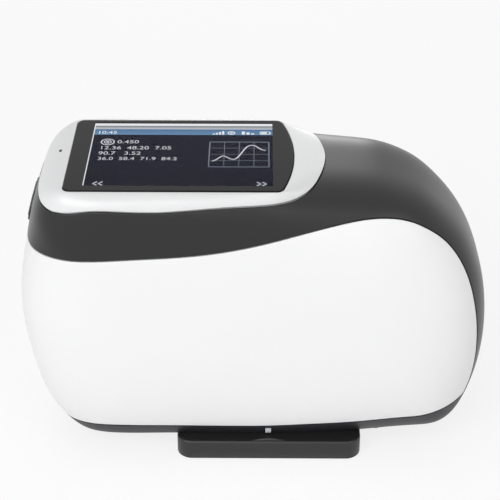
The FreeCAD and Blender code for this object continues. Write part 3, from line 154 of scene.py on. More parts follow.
mould = {
    "cloudScale": 28,
    "smearScale": 95,
    "smearRoughness": 0.65,
    "edge": (0.53, 0.62),  # how pointed a place is where wear starts, and where it is full
    "edgePolish": 0.3,
    "cloudRelief": 1.5,
}


def mouldedGroup():
    # moulded plastic: a little cloudiness, fine grain, edges polished by hands
    group, given = newGroup("mouldedPlastic", {
        "Colour": (0.5, 0.5, 0.5, 1), "Cloud": 0.02, "Roughness": 0.4, "Roughness Spread": 0.1,
        "Grain Scale": 2500.0, "Edge Lift": 0.1})
    spot = ownSpace(group)
    broad = noiseNode(group, spot, mould["cloudScale"], 3)
    smear = noiseNode(group, spot, mould["smearScale"], 4, mould["smearRoughness"])
    fine = noiseNode(group, spot, given["Grain Scale"], 2)
    pointed = addNode(group, "ShaderNodeNewGeometry").outputs["Pointiness"]
    edge = addNode(group, "ShaderNodeMapRange",
                   {"From Min": mould["edge"][0], "From Max": mould["edge"][1], "Value": pointed})
    worn = times(group, edge.outputs[0], given["Edge Lift"])
    cloud = times(group, minus(group, broad, 0.5), given["Cloud"])
    lift = plus(group, plus(group, cloud, worn), 1.0)
    grey = addNode(group, "ShaderNodeCombineColor", {0: lift, 1: lift, 2: lift}).outputs[0]
    spread = times(group, minus(group, smear, 0.5), given["Roughness Spread"])
    polish = minus(group, spread, times(group, worn, mould["edgePolish"]))
    return closeGroup(group, mixNode(group, 1, given["Colour"], grey, "MULTIPLY"),
                      plus(group, given["Roughness"], polish),
                      plus(group, fine, times(group, broad, mould["cloudRelief"])))


rolled = {
    "stretch": (3, 60, 60),
    "patchScale": 220,
    "patchRoughness": 0.6,
    "tarnishShare": 0.45,
    "roughnessSpread": 0.2,
}


def metalGroup():
    # rolled or turned metal: fine lines one way and slight tarnish
    group, given = newGroup("rolledMetal", {
        "Colour": (0.6, 0.6, 0.6, 1), "Tarnish": (0.4, 0.4, 0.4, 1), "Roughness": 0.35, "Line Scale": 60.0})
    spot = ownSpace(group)
    stretched = addNode(group, "ShaderNodeMapping", {"Scale": rolled["stretch"], "Vector": spot}).outputs[0]
    patches = noiseNode(group, spot, rolled["patchScale"], 4, rolled["patchRoughness"])
    share = times(group, patches, rolled["tarnishShare"])
    spread = times(group, minus(group, patches, 0.5), rolled["roughnessSpread"])
    return closeGroup(group, mixNode(group, share, given["Colour"], given["Tarnish"]),
                      plus(group, given["Roughness"], spread),
                      noiseNode(group, stretched, given["Line Scale"], 3))


groups = {"moulded": mouldedGroup(), "metal": metalGroup()}


def newMaterial(name, fixed):
    finishes[name] = bpy.data.materials.new(name)
    finishes[name].use_nodes = True
    tree = finishes[name].node_tree
    shader = tree.nodes["Principled BSDF"]
    for label, value in fixed.items():
        shader.inputs[label].default_value = value
    return tree, shader


def newFinish(name, kind, settings, bump, fixed):
    tree, shader = newMaterial(name, fixed)
    given = addNode(tree, "ShaderNodeGroup", settings, node_tree=groups[kind]).outputs
    relief = addNode(tree, "ShaderNodeBump", {"Strength": bump[0], "Distance": bump[1], "Height": given["Height"]})
    feed(tree, given["Colour"], shader.inputs["Base Color"])
    feed(tree, given["Roughness"], shader.inputs["Roughness"])
    feed(tree, relief.outputs["Normal"], shader.inputs["Normal"])
    return tree, shader


def plastic(name, colour, roughness, spread=0.08, cloud=0.03, grain=2500.0, lift=0.1, bump=(0.12, 0.0001),
            specular=0.5):
    settings = {"Colour": (*colour, 1), "Cloud": cloud, "Roughness": roughness, "Roughness Spread": spread,
                "Grain Scale": grain, "Edge Lift": lift}
    return newFinish(name, "moulded", settings, bump, {"Specular IOR Level": specular})


def metal(name, colour, tarnish, roughness):
    settings = {"Colour": (*colour, 1), "Tarnish": (*tarnish, 1), "Roughness": roughness, "Line Scale": 60.0}
    newFinish(name, "metal", settings, (0.15, 0.00005), {"Metallic": 1.0})


plastic("white_housing", (0.82, 0.82, 0.825), 0.36, lift=0.0, cloud=0.012, bump=(0.05, 0.0001))
plastic("white_bezel", (0.72, 0.725, 0.73), 0.3, lift=0.0, cloud=0.012, bump=(0.04, 0.0001))
plastic("black_band", (0.012, 0.012, 0.0125), 0.33, cloud=0.12, lift=0.5, specular=0.42)
plastic("grey_underside", (0.014, 0.014, 0.018), 0.48, spread=0.1, cloud=0.12, lift=0.4)
plastic("key_plastic", (0.03, 0.03, 0.031), 0.38, cloud=0.1, lift=0.5)
plastic("base_plastic", (0.014, 0.014, 0.015), 0.45, cloud=0.15, lift=0.6, grain=1800.0, bump=(0.25, 0.0001))
plastic("black_gasket", (0.02, 0.02, 0.02), 0.85, grain=4000.0, bump=(0.5, 0.0002))
plastic("rubber_pad", (0.022, 0.022, 0.022), 0.8, grain=1500.0, cloud=0.2, bump=(0.5, 0.0003))
plastic("black_component", (0.02, 0.02, 0.021), 0.5, grain=3500.0, cloud=0.15, lift=0.4, bump=(0.3, 0.0001))
plastic("black_anodised", (0.018, 0.018, 0.019), 0.38, grain=5000.0, cloud=0.15, lift=0.8, bump=(0.2, 0.00005))
plastic("sphere_white", (0.86, 0.86, 0.84), 0.75, lift=0.0, grain=3000.0, bump=(0.4, 0.0001))
plastic("white_ceramic", (0.84, 0.84, 0.82), 0.14, lift=0.0, grain=600.0, bump=(0.03, 0.0001))
plastic("battery_wrap", (0.03, 0.10, 0.32), 0.32, cloud=0.1, grain=500.0, bump=(0.2, 0.0002))
plastic("mark_paint", (0.8, 0.82, 0.85), 0.5, lift=0.0)
plastic("lamp_lens", (0.85, 0.8, 0.45), 0.2, lift=0.0)
plastic("clear_pipe", (0.10, 0.11, 0.12), 0.22, lift=0.0)
plastic("glass_print", (0.012, 0.012, 0.012), 0.07, spread=0.03, lift=0.0, cloud=0.05, bump=(0.0, 0.0001),
        specular=0.12)
metal("steel_sheet", (0.60, 0.60, 0.61), (0.45, 0.44, 0.42), 0.34)
metal("screw_steel", (0.55, 0.55, 0.57), (0.36, 0.35, 0.34), 0.3)
metal("socket_metal", (0.62, 0.62, 0.63), (0.45, 0.44, 0.42), 0.28)
metal("brass_parts", (0.72, 0.53, 0.25), (0.48, 0.33, 0.15), 0.3)


tracks = {
    "scale": 260,
    "width": 0.03,
    "colour": (0.04, 0.24, 0.10, 1),
}


def boardFinish():
    # solder mask over copper tracks
    tree, shader = plastic("circuit_board", (0.012, 0.11, 0.045), 0.35, cloud=0.2, lift=0.0)
    lines = addNode(tree, "ShaderNodeTexBrick", {
        "Scale": tracks["scale"], "Mortar Size": tracks["width"], "Color1": (0, 0, 0, 1), "Color2": (0, 0, 0, 1),
        "Mortar": (1, 1, 1, 1), "Vector": ownSpace(tree)})
    mask = shader.inputs["Base Color"].links[0].from_socket
    feed(tree, mixNode(tree, lines.outputs["Color"], mask, tracks["colour"]), shader.inputs["Base Color"])


wiping = {
    "scale": 120,
    "roughness": 0.7,
    "least": 0.55,  # fainter marks don't show
}


def clearFinish(name, colour, ior, roughness):
    # clear glass with faint wiping marks
    tree, shader = newMaterial(name, {"Base Color": (*colour, 1), "Transmission Weight": 1, "IOR": ior})
    marks = noiseNode(tree, ownSpace(tree), wiping["scale"], 4, wiping["roughness"])
    wiped = mathNode(tree, "MAXIMUM", minus(tree, marks, wiping["least"]), 0.0)
    feed(tree, times(tree, wiped, roughness), shader.inputs["Roughness"])


panel = {
    "half": 25.9,  # mm, half the lit height
    "rowScale": 1600,
    "rowShare": 0.04,
    "unlit": (0.002, 0.002, 0.002, 1),
}


def litFinish(name, low, high, lowUp=-panel["half"], highUp=panel["half"]):
    # a lit part of the picture: its colour fades from the lower to the higher place, with the panel's faint rows
    tree, shader = newMaterial(name, {"Base Color": panel["unlit"], "Roughness": 0.5, "Specular IOR Level": 0,
                                      "Emission Strength": 1})
    spot = ownSpace(tree)
    split = addNode(tree, "ShaderNodeSeparateXYZ", {0: spot})
    fade = addNode(tree, "ShaderNodeMapRange",
                   {"From Min": lowUp * mm, "From Max": highUp * mm, "Value": split.outputs["Y"]})
    rows = addNode(tree, "ShaderNodeTexWave", {"Scale": panel["rowScale"], "Vector": spot}, bands_direction="Y")
    share = plus(tree, fade.outputs[0], times(tree, rows.outputs["Fac"], panel["rowShare"]))
    feed(tree, mixNode(tree, share, (*low, 1), (*high, 1)), shader.inputs["Emission Color"])


boardFinish()
clearFinish("screen_glass", (1, 1, 1), 1.07, 0.02)
clearFinish("lens_glass", (0.85, 0.93, 0.95), 1.5, 0.02)
litFinish("display", (0.005, 0.005, 0.014), (0.003, 0.003, 0.016))
litFinish("pictureWhite", (0.72, 0.74, 0.76), (0.78, 0.8, 0.82))
litFinish("pictureSilver", (0.55, 0.57, 0.60), (0.16, 0.17, 0.19), 21.7, 24.7)
litFinish("pictureBlue", (0.12, 0.24, 0.40), (0.07, 0.16, 0.30), 16.9, 21.7)
litFinish("pictureGrey", (0.50, 0.53, 0.57), (0.62, 0.65, 0.69))
litFinish("pictureLine", (0.16, 0.19, 0.24), (0.26, 0.30, 0.37))

for entry in frame["record"]["subparts"]:
    solid = frame["nodes"][entry["node"]]
    solid.data.materials.clear()
    solid.data.materials.append(finishes[entry["material_slot"]])

print("stage: studio")
studio = {
    "ambient": 0.52,
    "floorSize": 8,  # m
    "floorPaint": (0.9, 0.9, 0.9, 1),
    "floorGlow": 0.8,
    "lampAim": (0, 0, 0.06),
    "lamps": (  # where (m), watts, size (m)
        ((-0.55, -0.95, 0.85), 10.0, 0.9),
        ((0.75, -0.75, 0.7), 2.0, 0.7),
        ((0.02, 1.0, 0.32), 1.2, 0.34),
    ),
}


def seenRays(tree):
    # rays that show the backdrop itself: camera, glossy and transmission
    path = addNode(tree, "ShaderNodeLightPath").outputs
    total = plus(tree, path["Is Camera Ray"], path["Is Glossy Ray"])
    return mathNode(tree, "MINIMUM", plus(tree, total, path["Is Transmission Ray"]), 1.0)


def makeStudio():
    scene.world = bpy.data.worlds.new("studio")
    scene.world.use_nodes = True
    tree = scene.world.node_tree
    back = tree.nodes["Background"].inputs
    back["Color"].default_value = (1, 1, 1, 1)
    strength = plus(tree, times(tree, seenRays(tree), 1 - studio["ambient"]), studio["ambient"])
    feed(tree, strength, back["Strength"])
    half = studio["floorSize"] / 2
    mesh = bpy.data.meshes.new("floor")
    mesh.from_pydata([(-half, -half, 0), (half, -half, 0), (half, half, 0), (-half, half, 0)], [], [(0, 1, 2, 3)])
    newObject("floor", mesh)
    tree, shader = newMaterial("floorPaint", {"Base Color": studio["floorPaint"], "Roughness": 0.9,
                                              "Specular IOR Level": 0.1})
    # the camera sees the floor as white, with a soft trace of the shadow
    glow = addNode(tree, "ShaderNodeEmission").outputs[0]
    share = times(tree, seenRays(tree), studio["floorGlow"])
    surface = addNode(tree, "ShaderNodeMixShader", {0: share, 1: shader.outputs[0], 2: glow})
    feed(tree, surface.outputs[0], tree.nodes["Material Output"].inputs["Surface"])
    mesh.materials.append(finishes["floorPaint"])
    for index, (spot, watts, across) in enumerate(studio["lamps"]):
        lamp = bpy.data.lights.new("lamp%d" % index, "AREA")
        lamp.energy, lamp.size = watts, across
        holder = newObject("lamp%d" % index, lamp)
        holder.location = spot
        holder.rotation_euler = aimed(Vector(studio["lampAim"]) - Vector(spot))


makeStudio()

print("stage: housing surface")
housing = {
    "length": 179.8,
    "width": 73.0,
    "height": 110.1,
    "stand": 8.7,  # the height of the base it stands on
    "coreLengthShare": 0.423,
    "coreHeightShare": 0.466,
    "columns": 336,  # points round the outline
    "rows": 56,  # points across the width
    "flankRows": 12,
    "lastLevel": 0.982,  # beyond it a flank goes flat
    "flankShare": 0.3,
    "wall": 2.0,
    "seamGap": 0.36,
    "edgeRadius": 0.35,
    "lapGap": 0.15,  # between a shell and the cover's lap behind it
    "lapWall": 1,
    "lapEdge": 0.2,
}
# share of half the length, share of the height, how square the section is
outlineShares = np.array([
    (-1, 0.439, 3.6), (-0.999, 0.566, 3.6), (-0.971, 0.702, 3.7), (-0.934, 0.838, 4.2),
    (-0.888, 0.936, 5.5), (-0.785, 0.997, 7.5), (-0.652, 1.009, 9.5), (-0.429, 1.009, 8.5),
    (-0.207, 1.007, 7.8), (-0.029, 1.005, 6.6), (0.093, 0.998, 5.5), (0.194, 0.994, 4.75),
    (0.294, 0.99, 4.4), (0.405, 0.984, 4.2), (0.52, 0.974, 4.05), (0.612, 0.952, 3.9),
    (0.703, 0.915, 3.7), (0.791, 0.853, 3.55), (0.876, 0.769, 3.4), (0.939, 0.67, 3.3),
    (0.98, 0.557, 3.2), (0.999, 0.43, 3.1), (0.997, 0.321, 3.1), (0.978, 0.212, 3.1),
    (0.941, 0.107, 3.1), (0.894, 0.03, 3.1), (0.828, -0.014, 3.1), (0.716, -0.032, 3),
    (0.527, -0.049, 3), (0.305, -0.07, 3), (-0.007, -0.084, 3), (-0.34, -0.084, 3),
    (-0.607, -0.081, 3.1), (-0.758, -0.05, 3.2), (-0.857, 0.025, 3.3), (-0.928, 0.134, 3.4),
    (-0.974, 0.284, 3.5)])
coverSeamShares = np.array([
    (-1.1, 0.762), (-0.942, 0.763), (-0.746, 0.765), (-0.6, 0.77), (-0.464, 0.777),
    (-0.254, 0.79), (-0.057, 0.816), (0.103, 0.847), (0.25, 0.876), (0.39, 0.899),
    (0.496, 0.906), (0.578, 0.898), (0.661, 0.873), (0.76, 0.816), (0.823, 0.757),
    (0.869, 0.692), (0.905, 0.615), (0.931, 0.528), (0.946, 0.448), (0.953, 0.357),
    (0.951, 0.29), (0.942, 0.225), (0.925, 0.165), (0.892, 0.095), (0.85, 0.025),
    (0.805, -0.043)])
floorSeamShares = np.array([
    (-1.1, 0.04), (-0.941, 0.043), (-0.785, 0.051), (-0.63, 0.059), (-0.452, 0.057),
    (-0.107, 0.054), (0.071, 0.056), (0.238, 0.065), (0.416, 0.075), (0.594, 0.092),
    (0.772, 0.114), (0.883, 0.137), (0.994, 0.166), (1.1, 0.2)])


def travelled(points):
    # how far along a line each of its points lies
    steps = np.linalg.norm(np.diff(points, axis=0), axis=-1)
    return np.concatenate([np.zeros((1, *steps.shape[1:])), np.cumsum(steps, axis=0)])


def splineBasis(knots, spots, closed):
    # weights of a cubic spline through points at knots, for each spot
    count = len(knots) - 1 if closed else len(knots)
    system, rise = np.zeros((count, count)), np.zeros((count, count))
    steps = np.diff(knots)
    for index in range(count):
        if not closed and index in (0, count - 1):
            system[index, index] = 1
            continue
        before, after = (index - 1) % count, (index + 1) % count
        left, right = steps[index - 1], steps[index]
        system[index, before] += left
        system[index, index] += 2 * (left + right)
        system[index, after] += right
        rise[index, before] += 6 / left
        rise[index, index] -= 6 / left + 6 / right
        rise[index, after] += 6 / right
    bend = np.linalg.solve(system, rise)
    basis = np.zeros((len(spots), count))
    for row, spot in enumerate(spots):
        index = min(max(np.searchsorted(knots, spot, side="right") - 1, 0), len(steps) - 1)
        after = (index + 1) % count
        share = (spot - knots[index]) / steps[index]
        basis[row, index] += 1 - share
        basis[row, after] += share
        pull = ((1 - share) ** 3 - (1 - share)) * bend[index] + (share ** 3 - share) * bend[after]
        basis[row] += steps[index] ** 2 / 6 * pull
    return basis


def evenBasis(points, count, closed):
    # weights for spots that lie at even distances along the curve, its knots set by the roots of the steps
    ends = np.vstack([points, points[:1]]) if closed else points
    knots = np.concatenate([[0], np.cumsum(np.sqrt(np.linalg.norm(np.diff(ends, axis=0), axis=1)))])
    dense = np.linspace(knots[0], knots[-1], 4000)
    curve = splineBasis(knots, dense[:-1] if closed else dense, closed) @ points
    if closed:
        curve = np.vstack([curve, curve[:1]])
    way = travelled(curve)
    wanted = np.linspace(0, way[-1], count + 1)[:-1] if closed else np.linspace(0, way[-1], count)
    return splineBasis(knots, np.interp(wanted, way, dense), closed)


def sidePoints(shares):
    # points seen from the side: along and up, in mm
    return np.column_stack([shares[:, 0] * halfLength, housing["stand"] + shares[:, 1] * housing["height"]])


halfLength, halfWidth = housing["length"] / 2, housing["width"] / 2
coreHalf = housing["coreLengthShare"] * halfLength
coreUp = housing["stand"] + housing["coreHeightShare"] * housing["height"]
outlinePoints = sidePoints(outlineShares)
outlineMiddle = np.clip(outlinePoints[:, 0], -coreHalf, coreHalf)
outlineSpoke = outlinePoints - np.column_stack([outlineMiddle, np.full(len(outlinePoints), coreUp)])
outlineBasis = evenBasis(outlinePoints, housing["columns"], True)


def housingPoint(level):
    # the point of each column of the surface at its own level across the width
    squareness = outlineShares[:, 2][None, :]
    reach = (1 - np.abs(level)[:, None] ** squareness) ** (1 / squareness)
    along = (outlineBasis * (outlineMiddle + outlineSpoke[:, 0] * reach)).sum(1)
    up = (outlineBasis * (coreUp + outlineSpoke[:, 1] * reach)).sum(1)
    return np.column_stack([along, level * halfWidth, up])


def housingGrid():
    columns, lastLevel, flankShare = housing["columns"], housing["lastLevel"], housing["flankShare"]
    dense = np.sin(np.linspace(0, 1, 160) * math.pi / 2) * lastLevel
    sections = np.stack([housingPoint(np.full(columns, level)) for level in dense])
    way = travelled(sections)
    grid = []
    for share in np.linspace(0, 1, housing["rows"] // 2 + 1):
        grid.append(housingPoint(np.array([np.interp(share * way[-1, spot], way[:, spot], dense)
                                           for spot in range(columns)])))
    last = sections[-1]
    middle = np.column_stack([outlineBasis @ outlineMiddle, np.full(columns, coreUp)])
    inward = sections[-2] - last
    slope = np.linalg.norm(inward[:, [0, 2]], axis=1) / np.abs(inward[:, 1])
    span = np.linalg.norm(last[:, [0, 2]] - middle, axis=1) * (1 - flankShare)
    left = halfWidth * (1 - lastLevel)
    power = np.maximum(span / slope / left, 1.2)  # the flank goes flat without a crease
    for share in np.linspace(0, 1, housing["flankRows"] + 1)[1:]:
        ring = last.copy()
        ring[:, [0, 2]] = middle + (last[:, [0, 2]] - middle) * (1 - (1 - flankShare) * share)
        ring[:, 1] = halfWidth * lastLevel + left * (1 - (1 - share) ** power)
        grid.append(ring)
    far = np.stack(grid)
    near = far[:0:-1] * np.array([1, -1, 1])
    return np.concatenate([near, far])


def gridNormals(grid):
    along = np.roll(grid, -1, axis=1) - np.roll(grid, 1, axis=1)
    normal = np.cross(along, np.gradient(grid, axis=0))
    return normal / np.maximum(np.linalg.norm(normal, axis=2, keepdims=True), 1e-9)


def ringFaces(rings, count, closed=False):
    # faces between rings of as many points; the ends are capped, or meet if the stack is closed
    faces = []
    for low in range(rings if closed else rings - 1):
        high = (low + 1) % rings
        for column in range(count):
            after = (column + 1) % count
            faces.append([low * count + column, low * count + after, high * count + after, high * count + column])
    if closed:
        return faces
    first = list(range(count))
    return faces + [first[::-1], [(rings - 1) * count + column for column in first]]


surfaceGrid = housingGrid()
surface = (surfaceGrid.reshape(-1, 3), gridNormals(surfaceGrid).reshape(-1, 3), ringFaces(*surfaceGrid.shape[:2]))


def seamLine(shares, count):
    points = sidePoints(shares)
    return evenBasis(points, count, False) @ points


coverSeam = seamLine(coverSeamShares, 420)
floorSeam = seamLine(floorSeamShares, 160)


def unit(vectors):
    return vectors / np.maximum(np.linalg.norm(vectors, axis=-1, keepdims=True), 1e-12)


def leftOf(spans):
    return unit(spans)[:, ::-1] * np.array([-1, 1])


def signedDistance(spots, line, batch=3000):
    # distance from a line in a plane, positive on its left, and the way in which it grows
    starts, spans = line[:-1], np.diff(line, axis=0)
    squares = (spans ** 2).sum(1)
    distance, growth = np.empty(len(spots)), np.empty((len(spots), 2))
    for first in range(0, len(spots), batch):
        part = spots[first:first + batch, None, :] - starts
        share = np.clip((part * spans).sum(2) / squares, 0, 1)
        away = part - share[..., None] * spans
        nearest = (away ** 2).sum(2).argmin(1)
        vector = away[np.arange(len(nearest)), nearest]
        left = leftOf(spans[nearest])
        side = np.where((vector * left).sum(1) >= 0, 1, -1)
        distance[first:first + batch] = side * np.linalg.norm(vector, axis=1)
        growth[first:first + batch] = left
    return distance, growth


# A field says how far points of the surface are from where a piece ends, and the way in which that grows.
def alongSurface(distance, growth, normals):
    # a distance in space turned into one along the surface
    tangent = growth - (growth * normals).sum(1)[:, None] * normals
    length = np.maximum(np.linalg.norm(tangent, axis=1), 0.3)[:, None]
    return distance / length[:, 0], tangent / length


def besideSeam(line, side):
    def field(points, normals):
        distance, growth = signedDistance(points[:, [0, 2]], line)
        flat = np.column_stack([growth[:, 0], np.zeros(len(points)), growth[:, 1]])
        return alongSurface(side * distance, side * flat, normals)
    return field


def besideMiddle(side):
    growth = np.array((0.0, side, 0.0))

    def field(points, normals):
        return alongSurface(points @ growth, np.tile(growth, (len(points), 1)), normals)
    return field


def roundHole(middle, across, upwards, halfSize, corner, reach=30):
    # outside a rounded rectangle that is cut straight through one end of the housing
    middle, across, upwards = np.array(middle), np.array(across), np.array(upwards)
    outward = np.cross(across, upwards)

    def field(points, normals):
        spread = np.column_stack([(points - middle) @ across, (points - middle) @ upwards])
        over = np.abs(spread) - (np.array(halfSize) - corner)
        outside = np.maximum(over, 0)
        distance = np.linalg.norm(outside, axis=1) + np.minimum(over.max(1), 0) - corner
        lean = np.where((over > 0).any(1)[:, None], outside, over == over.max(1)[:, None]) * np.sign(spread)
        lean = unit(lean.astype(float))
        growth = lean[:, :1] * across + lean[:, 1:] * upwards
        value, tangent = alongSurface(distance, growth, normals)
        return np.where((points - middle) @ outward > -reach, value, 99), tangent
    return field


def clipSurface(points, normals, faces, labels, field, least, label, snap=0.22):
    # keeps the part of each polygon where the field is at least the given value
    value, growth = field(points, normals)
    value = value - least
    close = np.abs(value) < snap
    close[list(labels)] = False
    points = points.copy()
    points[close] -= value[close, None] * growth[close]
    value[close] = 0
    for spot in np.flatnonzero(close):
        labels[int(spot)] = {label}
    inside = value >= 0
    crossings, kept = {}, []
    for face in faces:
        states = inside[face]
        if states.all():
            kept.append(face)
            continue
        if not states.any():
            continue
        polygon = []
        for here, there in zip(face, face[1:] + face[:1]):
            if inside[here]:
                polygon.append(here)
            if inside[here] != inside[there] and value[here] != 0 and value[there] != 0:
                pair = (min(here, there), max(here, there))
                polygon.append(crossings.setdefault(pair, len(points) + len(crossings)))
        if len(polygon) > 2:
            kept.append(polygon)
    if not crossings:
        return points, normals, kept, labels
    first, second = np.array(list(crossings)).T
    low, high = value[first], value[second]
    lowShare, highShare = np.zeros(len(first)), np.ones(len(first))
    for step in range(5):  # nears the crossing from both sides
        share = lowShare + (highShare - lowShare) * low / (low - high)
        spots = points[first] + (points[second] - points[first]) * share[:, None]
        lean = unit(normals[first] + (normals[second] - normals[first]) * share[:, None])
        found = field(spots, lean)[0] - least
        same = np.sign(found) == np.sign(low)
        low, lowShare = np.where(same, found, low), np.where(same, share, lowShare)
        high, highShare = np.where(same, high, found), np.where(same, highShare, share)
    for index, (here, there) in enumerate(crossings):
        labels[len(points) + index] = (labels.get(here, set()) & labels.get(there, set())) | {label}
    return np.vstack([points, spots]), np.vstack([normals, lean]), kept, labels


def clippedSurface(bounds, setBack):
    points, normals, faces, labels = *surface, {}
    for index, (field, least) in enumerate(bounds):
        points, normals, faces, labels = clipSurface(points, normals, faces, labels, field, least + setBack, index)
    used = sorted({spot for face in faces for spot in face})
    place = {spot: index for index, spot in enumerate(used)}
    faces = [[place[spot] for spot in face] for face in faces]
    return points[used], normals[used], faces, {place[spot]: labels[spot] for spot in labels if spot in place}


def shellPart(bounds, depth, wall, rounding):
    # one closed wall: outside, rounded edge, wall and inside; points, faces and normals
    points, normals, faces, labels = clippedSurface(bounds, rounding)
    sides = {(here, there): True for face in faces for here, there in zip(face, face[1:] + face[:1])}
    edges = [(here, there) for here, there in sides if (there, here) not in sides]
    rim = sorted({spot for edge in edges for spot in edge})
    rimPoints, rimNormals = points[rim], normals[rim]
    growths = [field(rimPoints, rimNormals)[1] for field, least in bounds]
    outward = np.zeros((len(rim), 3))
    for row, spot in enumerate(rim):
        found = [growths[index][row] for index in labels.get(spot, {0})]
        outward[row] = -np.sum(found, axis=0) / max(1 + (found[0] @ found[-1] if len(found) > 1 else 0), 0.6)
    verts, leans = [points - normals * depth], [normals]
    rows, total = [{spot: spot for spot in rim}], len(points)
    turns = np.linspace(0, math.pi / 2, 5)[1:]
    for down, out in [(1 - math.cos(turn), math.sin(turn)) for turn in turns] + [(wall / rounding, 1)]:
        verts.append(rimPoints - rimNormals * (depth + rounding * down) + outward * rounding * out)
        leans.append(unit(rimNormals * (1 - min(down, 1)) + unit(outward) * out))
        rows.append({spot: total + row for row, spot in enumerate(rim)})
        total += len(rim)
    verts.append(points - normals * (depth + wall))
    leans.append(-normals)
    rows.append({spot: total + spot for spot in rim})
    walls = [[before[there], before[here], after[here], after[there]]
             for before, after in zip(rows, rows[1:]) for here, there in edges]
    inner = [[total + spot for spot in face[::-1]] for face in faces]
    return np.vstack(verts), faces + walls + inner, np.vstack(leans)


def gather(parts):
    # several parts as one; only shells have normals of their own
    verts, faces, leans, count = [], [], [], 0
    for part in parts:
        verts.append(part[0])
        faces += [[spot + count for spot in face] for face in part[1]]
        leans += part[2:]
        count += len(part[0])
    return np.vstack(verts), faces, *([np.vstack(leans)] if leans else [])


def smoothPiece(piece, angle):
    # smooth faces, with sharp edges kept where they turn by more than the angle
    piece.data.polygons.foreach_set("use_smooth", [True] * len(piece.data.polygons))
    mesh = bmesh.new()
    mesh.from_mesh(piece.data)
    for side in mesh.edges:
        side.smooth = len(side.link_faces) == 2 and side.calc_face_angle() < math.radians(angle)
    mesh.to_mesh(piece.data)
    mesh.free()


def placePiece(name, mesh, body, replaced=None, angle=None):
    piece = newObject(name, mesh)
    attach(piece, body)
    if replaced:
        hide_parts(replaced)
    if angle:
        smoothPiece(piece, angle)


def addPiece(name, part, slot, body="instrument", replaced=None, angle=None, paint=None):
    # a part is points in mm and faces, with normals where it has its own
    verts, faces, *leans = part
    mesh = bpy.data.meshes.new(name)
    mesh.from_pydata((verts * mm).tolist(), [], faces)
    mesh.polygons.foreach_set("use_smooth", [True] * len(mesh.polygons))
    mesh.update()
    if leans:
        mesh.normals_split_custom_set_from_vertices(leans[0].tolist())
    mesh.materials.append(finishes[paint or slot])
    placePiece(name, mesh, body, replaced, angle)


print("stage: shells")
socketBay = {
    "middle": (89.9, 0.0, 28.05),
    "halfSize": (15.15, 10.7),
    "corner": 2.0,
}
key = {
    "middle": (-84.5, 0.0, 99.7),
    "tilt": 15,
    "ringLength": 21.0,
    "ringWidth": 12.5,
    "holeMargin": 0.15,
    "cornerMargin": 0.1,
    "length": 18.0,
    "width": 9.5,
    "proud": 0.6,
    "round": 0.45,
    "dish": 0.4,
    "dishInset": 3.9,
    "low": (-2.8, -2.6),
    "stemRadius": 2.0,
    "stem": (-4.8, -2.9),
    "play": 0.2,
    "ringOutside": ((0, -3.9), (0, 0.02), (-0.06, 0.16), (-0.2, 0.26), (-0.4, 0.3)),
    "ringInside": ((0.5, 0.24), (0.22, 0.14), (0.06, -0.02), (0, -0.25), (0, -3.9)),
}
tilt = math.radians(key["tilt"])
keyAxes = np.array([(0, 1.0, 0), (math.sin(tilt), 0, math.cos(tilt)), (-math.cos(tilt), 0, math.sin(tilt))])
keyAcross, keyUp, keyOut = keyAxes
# of the bezel, seen from above: foot along and aside, inner edge along and aside
bezelShares = np.array([
    (-0.895, 0, -0.776, 0), (-0.894, -0.25, -0.776, -0.247), (-0.887, -0.45, -0.776, -0.445),
    (-0.872, -0.65, -0.776, -0.62), (-0.854, -0.757, -0.775, -0.707), (-0.829, -0.837, -0.77, -0.765),
    (-0.801, -0.884, -0.758, -0.798), (-0.768, -0.918, -0.736, -0.813), (-0.714, -0.946, -0.696, -0.817),
    (-0.61, -0.96, -0.605, -0.817), (-0.461, -0.956, -0.461, -0.817), (-0.305, -0.944, -0.305, -0.817),
    (-0.147, -0.92, -0.147, -0.817), (-0.018, -0.888, -0.027, -0.817), (0.075, -0.845, 0.043, -0.814),
    (0.158, -0.777, 0.096, -0.772), (0.216, -0.676, 0.124, -0.679), (0.251, -0.53, 0.14, -0.521),
    (0.274, -0.34, 0.153, -0.315), (0.288, -0.15, 0.162, -0.148), (0.292, 0, 0.165, 0)])
screenEndUp = 90  # all of the bezel's foot lies above this


def bothSides(near):
    # a near half outline with its mirror image
    return np.vstack([near, near[-2:0:-1] * (1, -1)])


def bezelRings(columns):
    # the bezel's foot and its inner edge, with as many points on each
    halves = bezelShares.reshape(-1, 2, 2) * (halfLength, halfWidth)
    foot, inner = bothSides(halves[:, 0]), bothSides(halves[:, 1])
    basis = evenBasis(foot, columns, True)
    return basis @ foot, basis @ inner


footRing, innerRing = bezelRings(288)


def outsideFoot(points, normals):
    line = np.vstack([footRing, footRing[:1]])[::-1]
    distance, growth = signedDistance(points[:, :2], line)
    value, tangent = alongSurface(distance, np.column_stack([growth, np.zeros(len(points))]), normals)
    return np.where(points[:, 2] > screenEndUp, value, 99), tangent


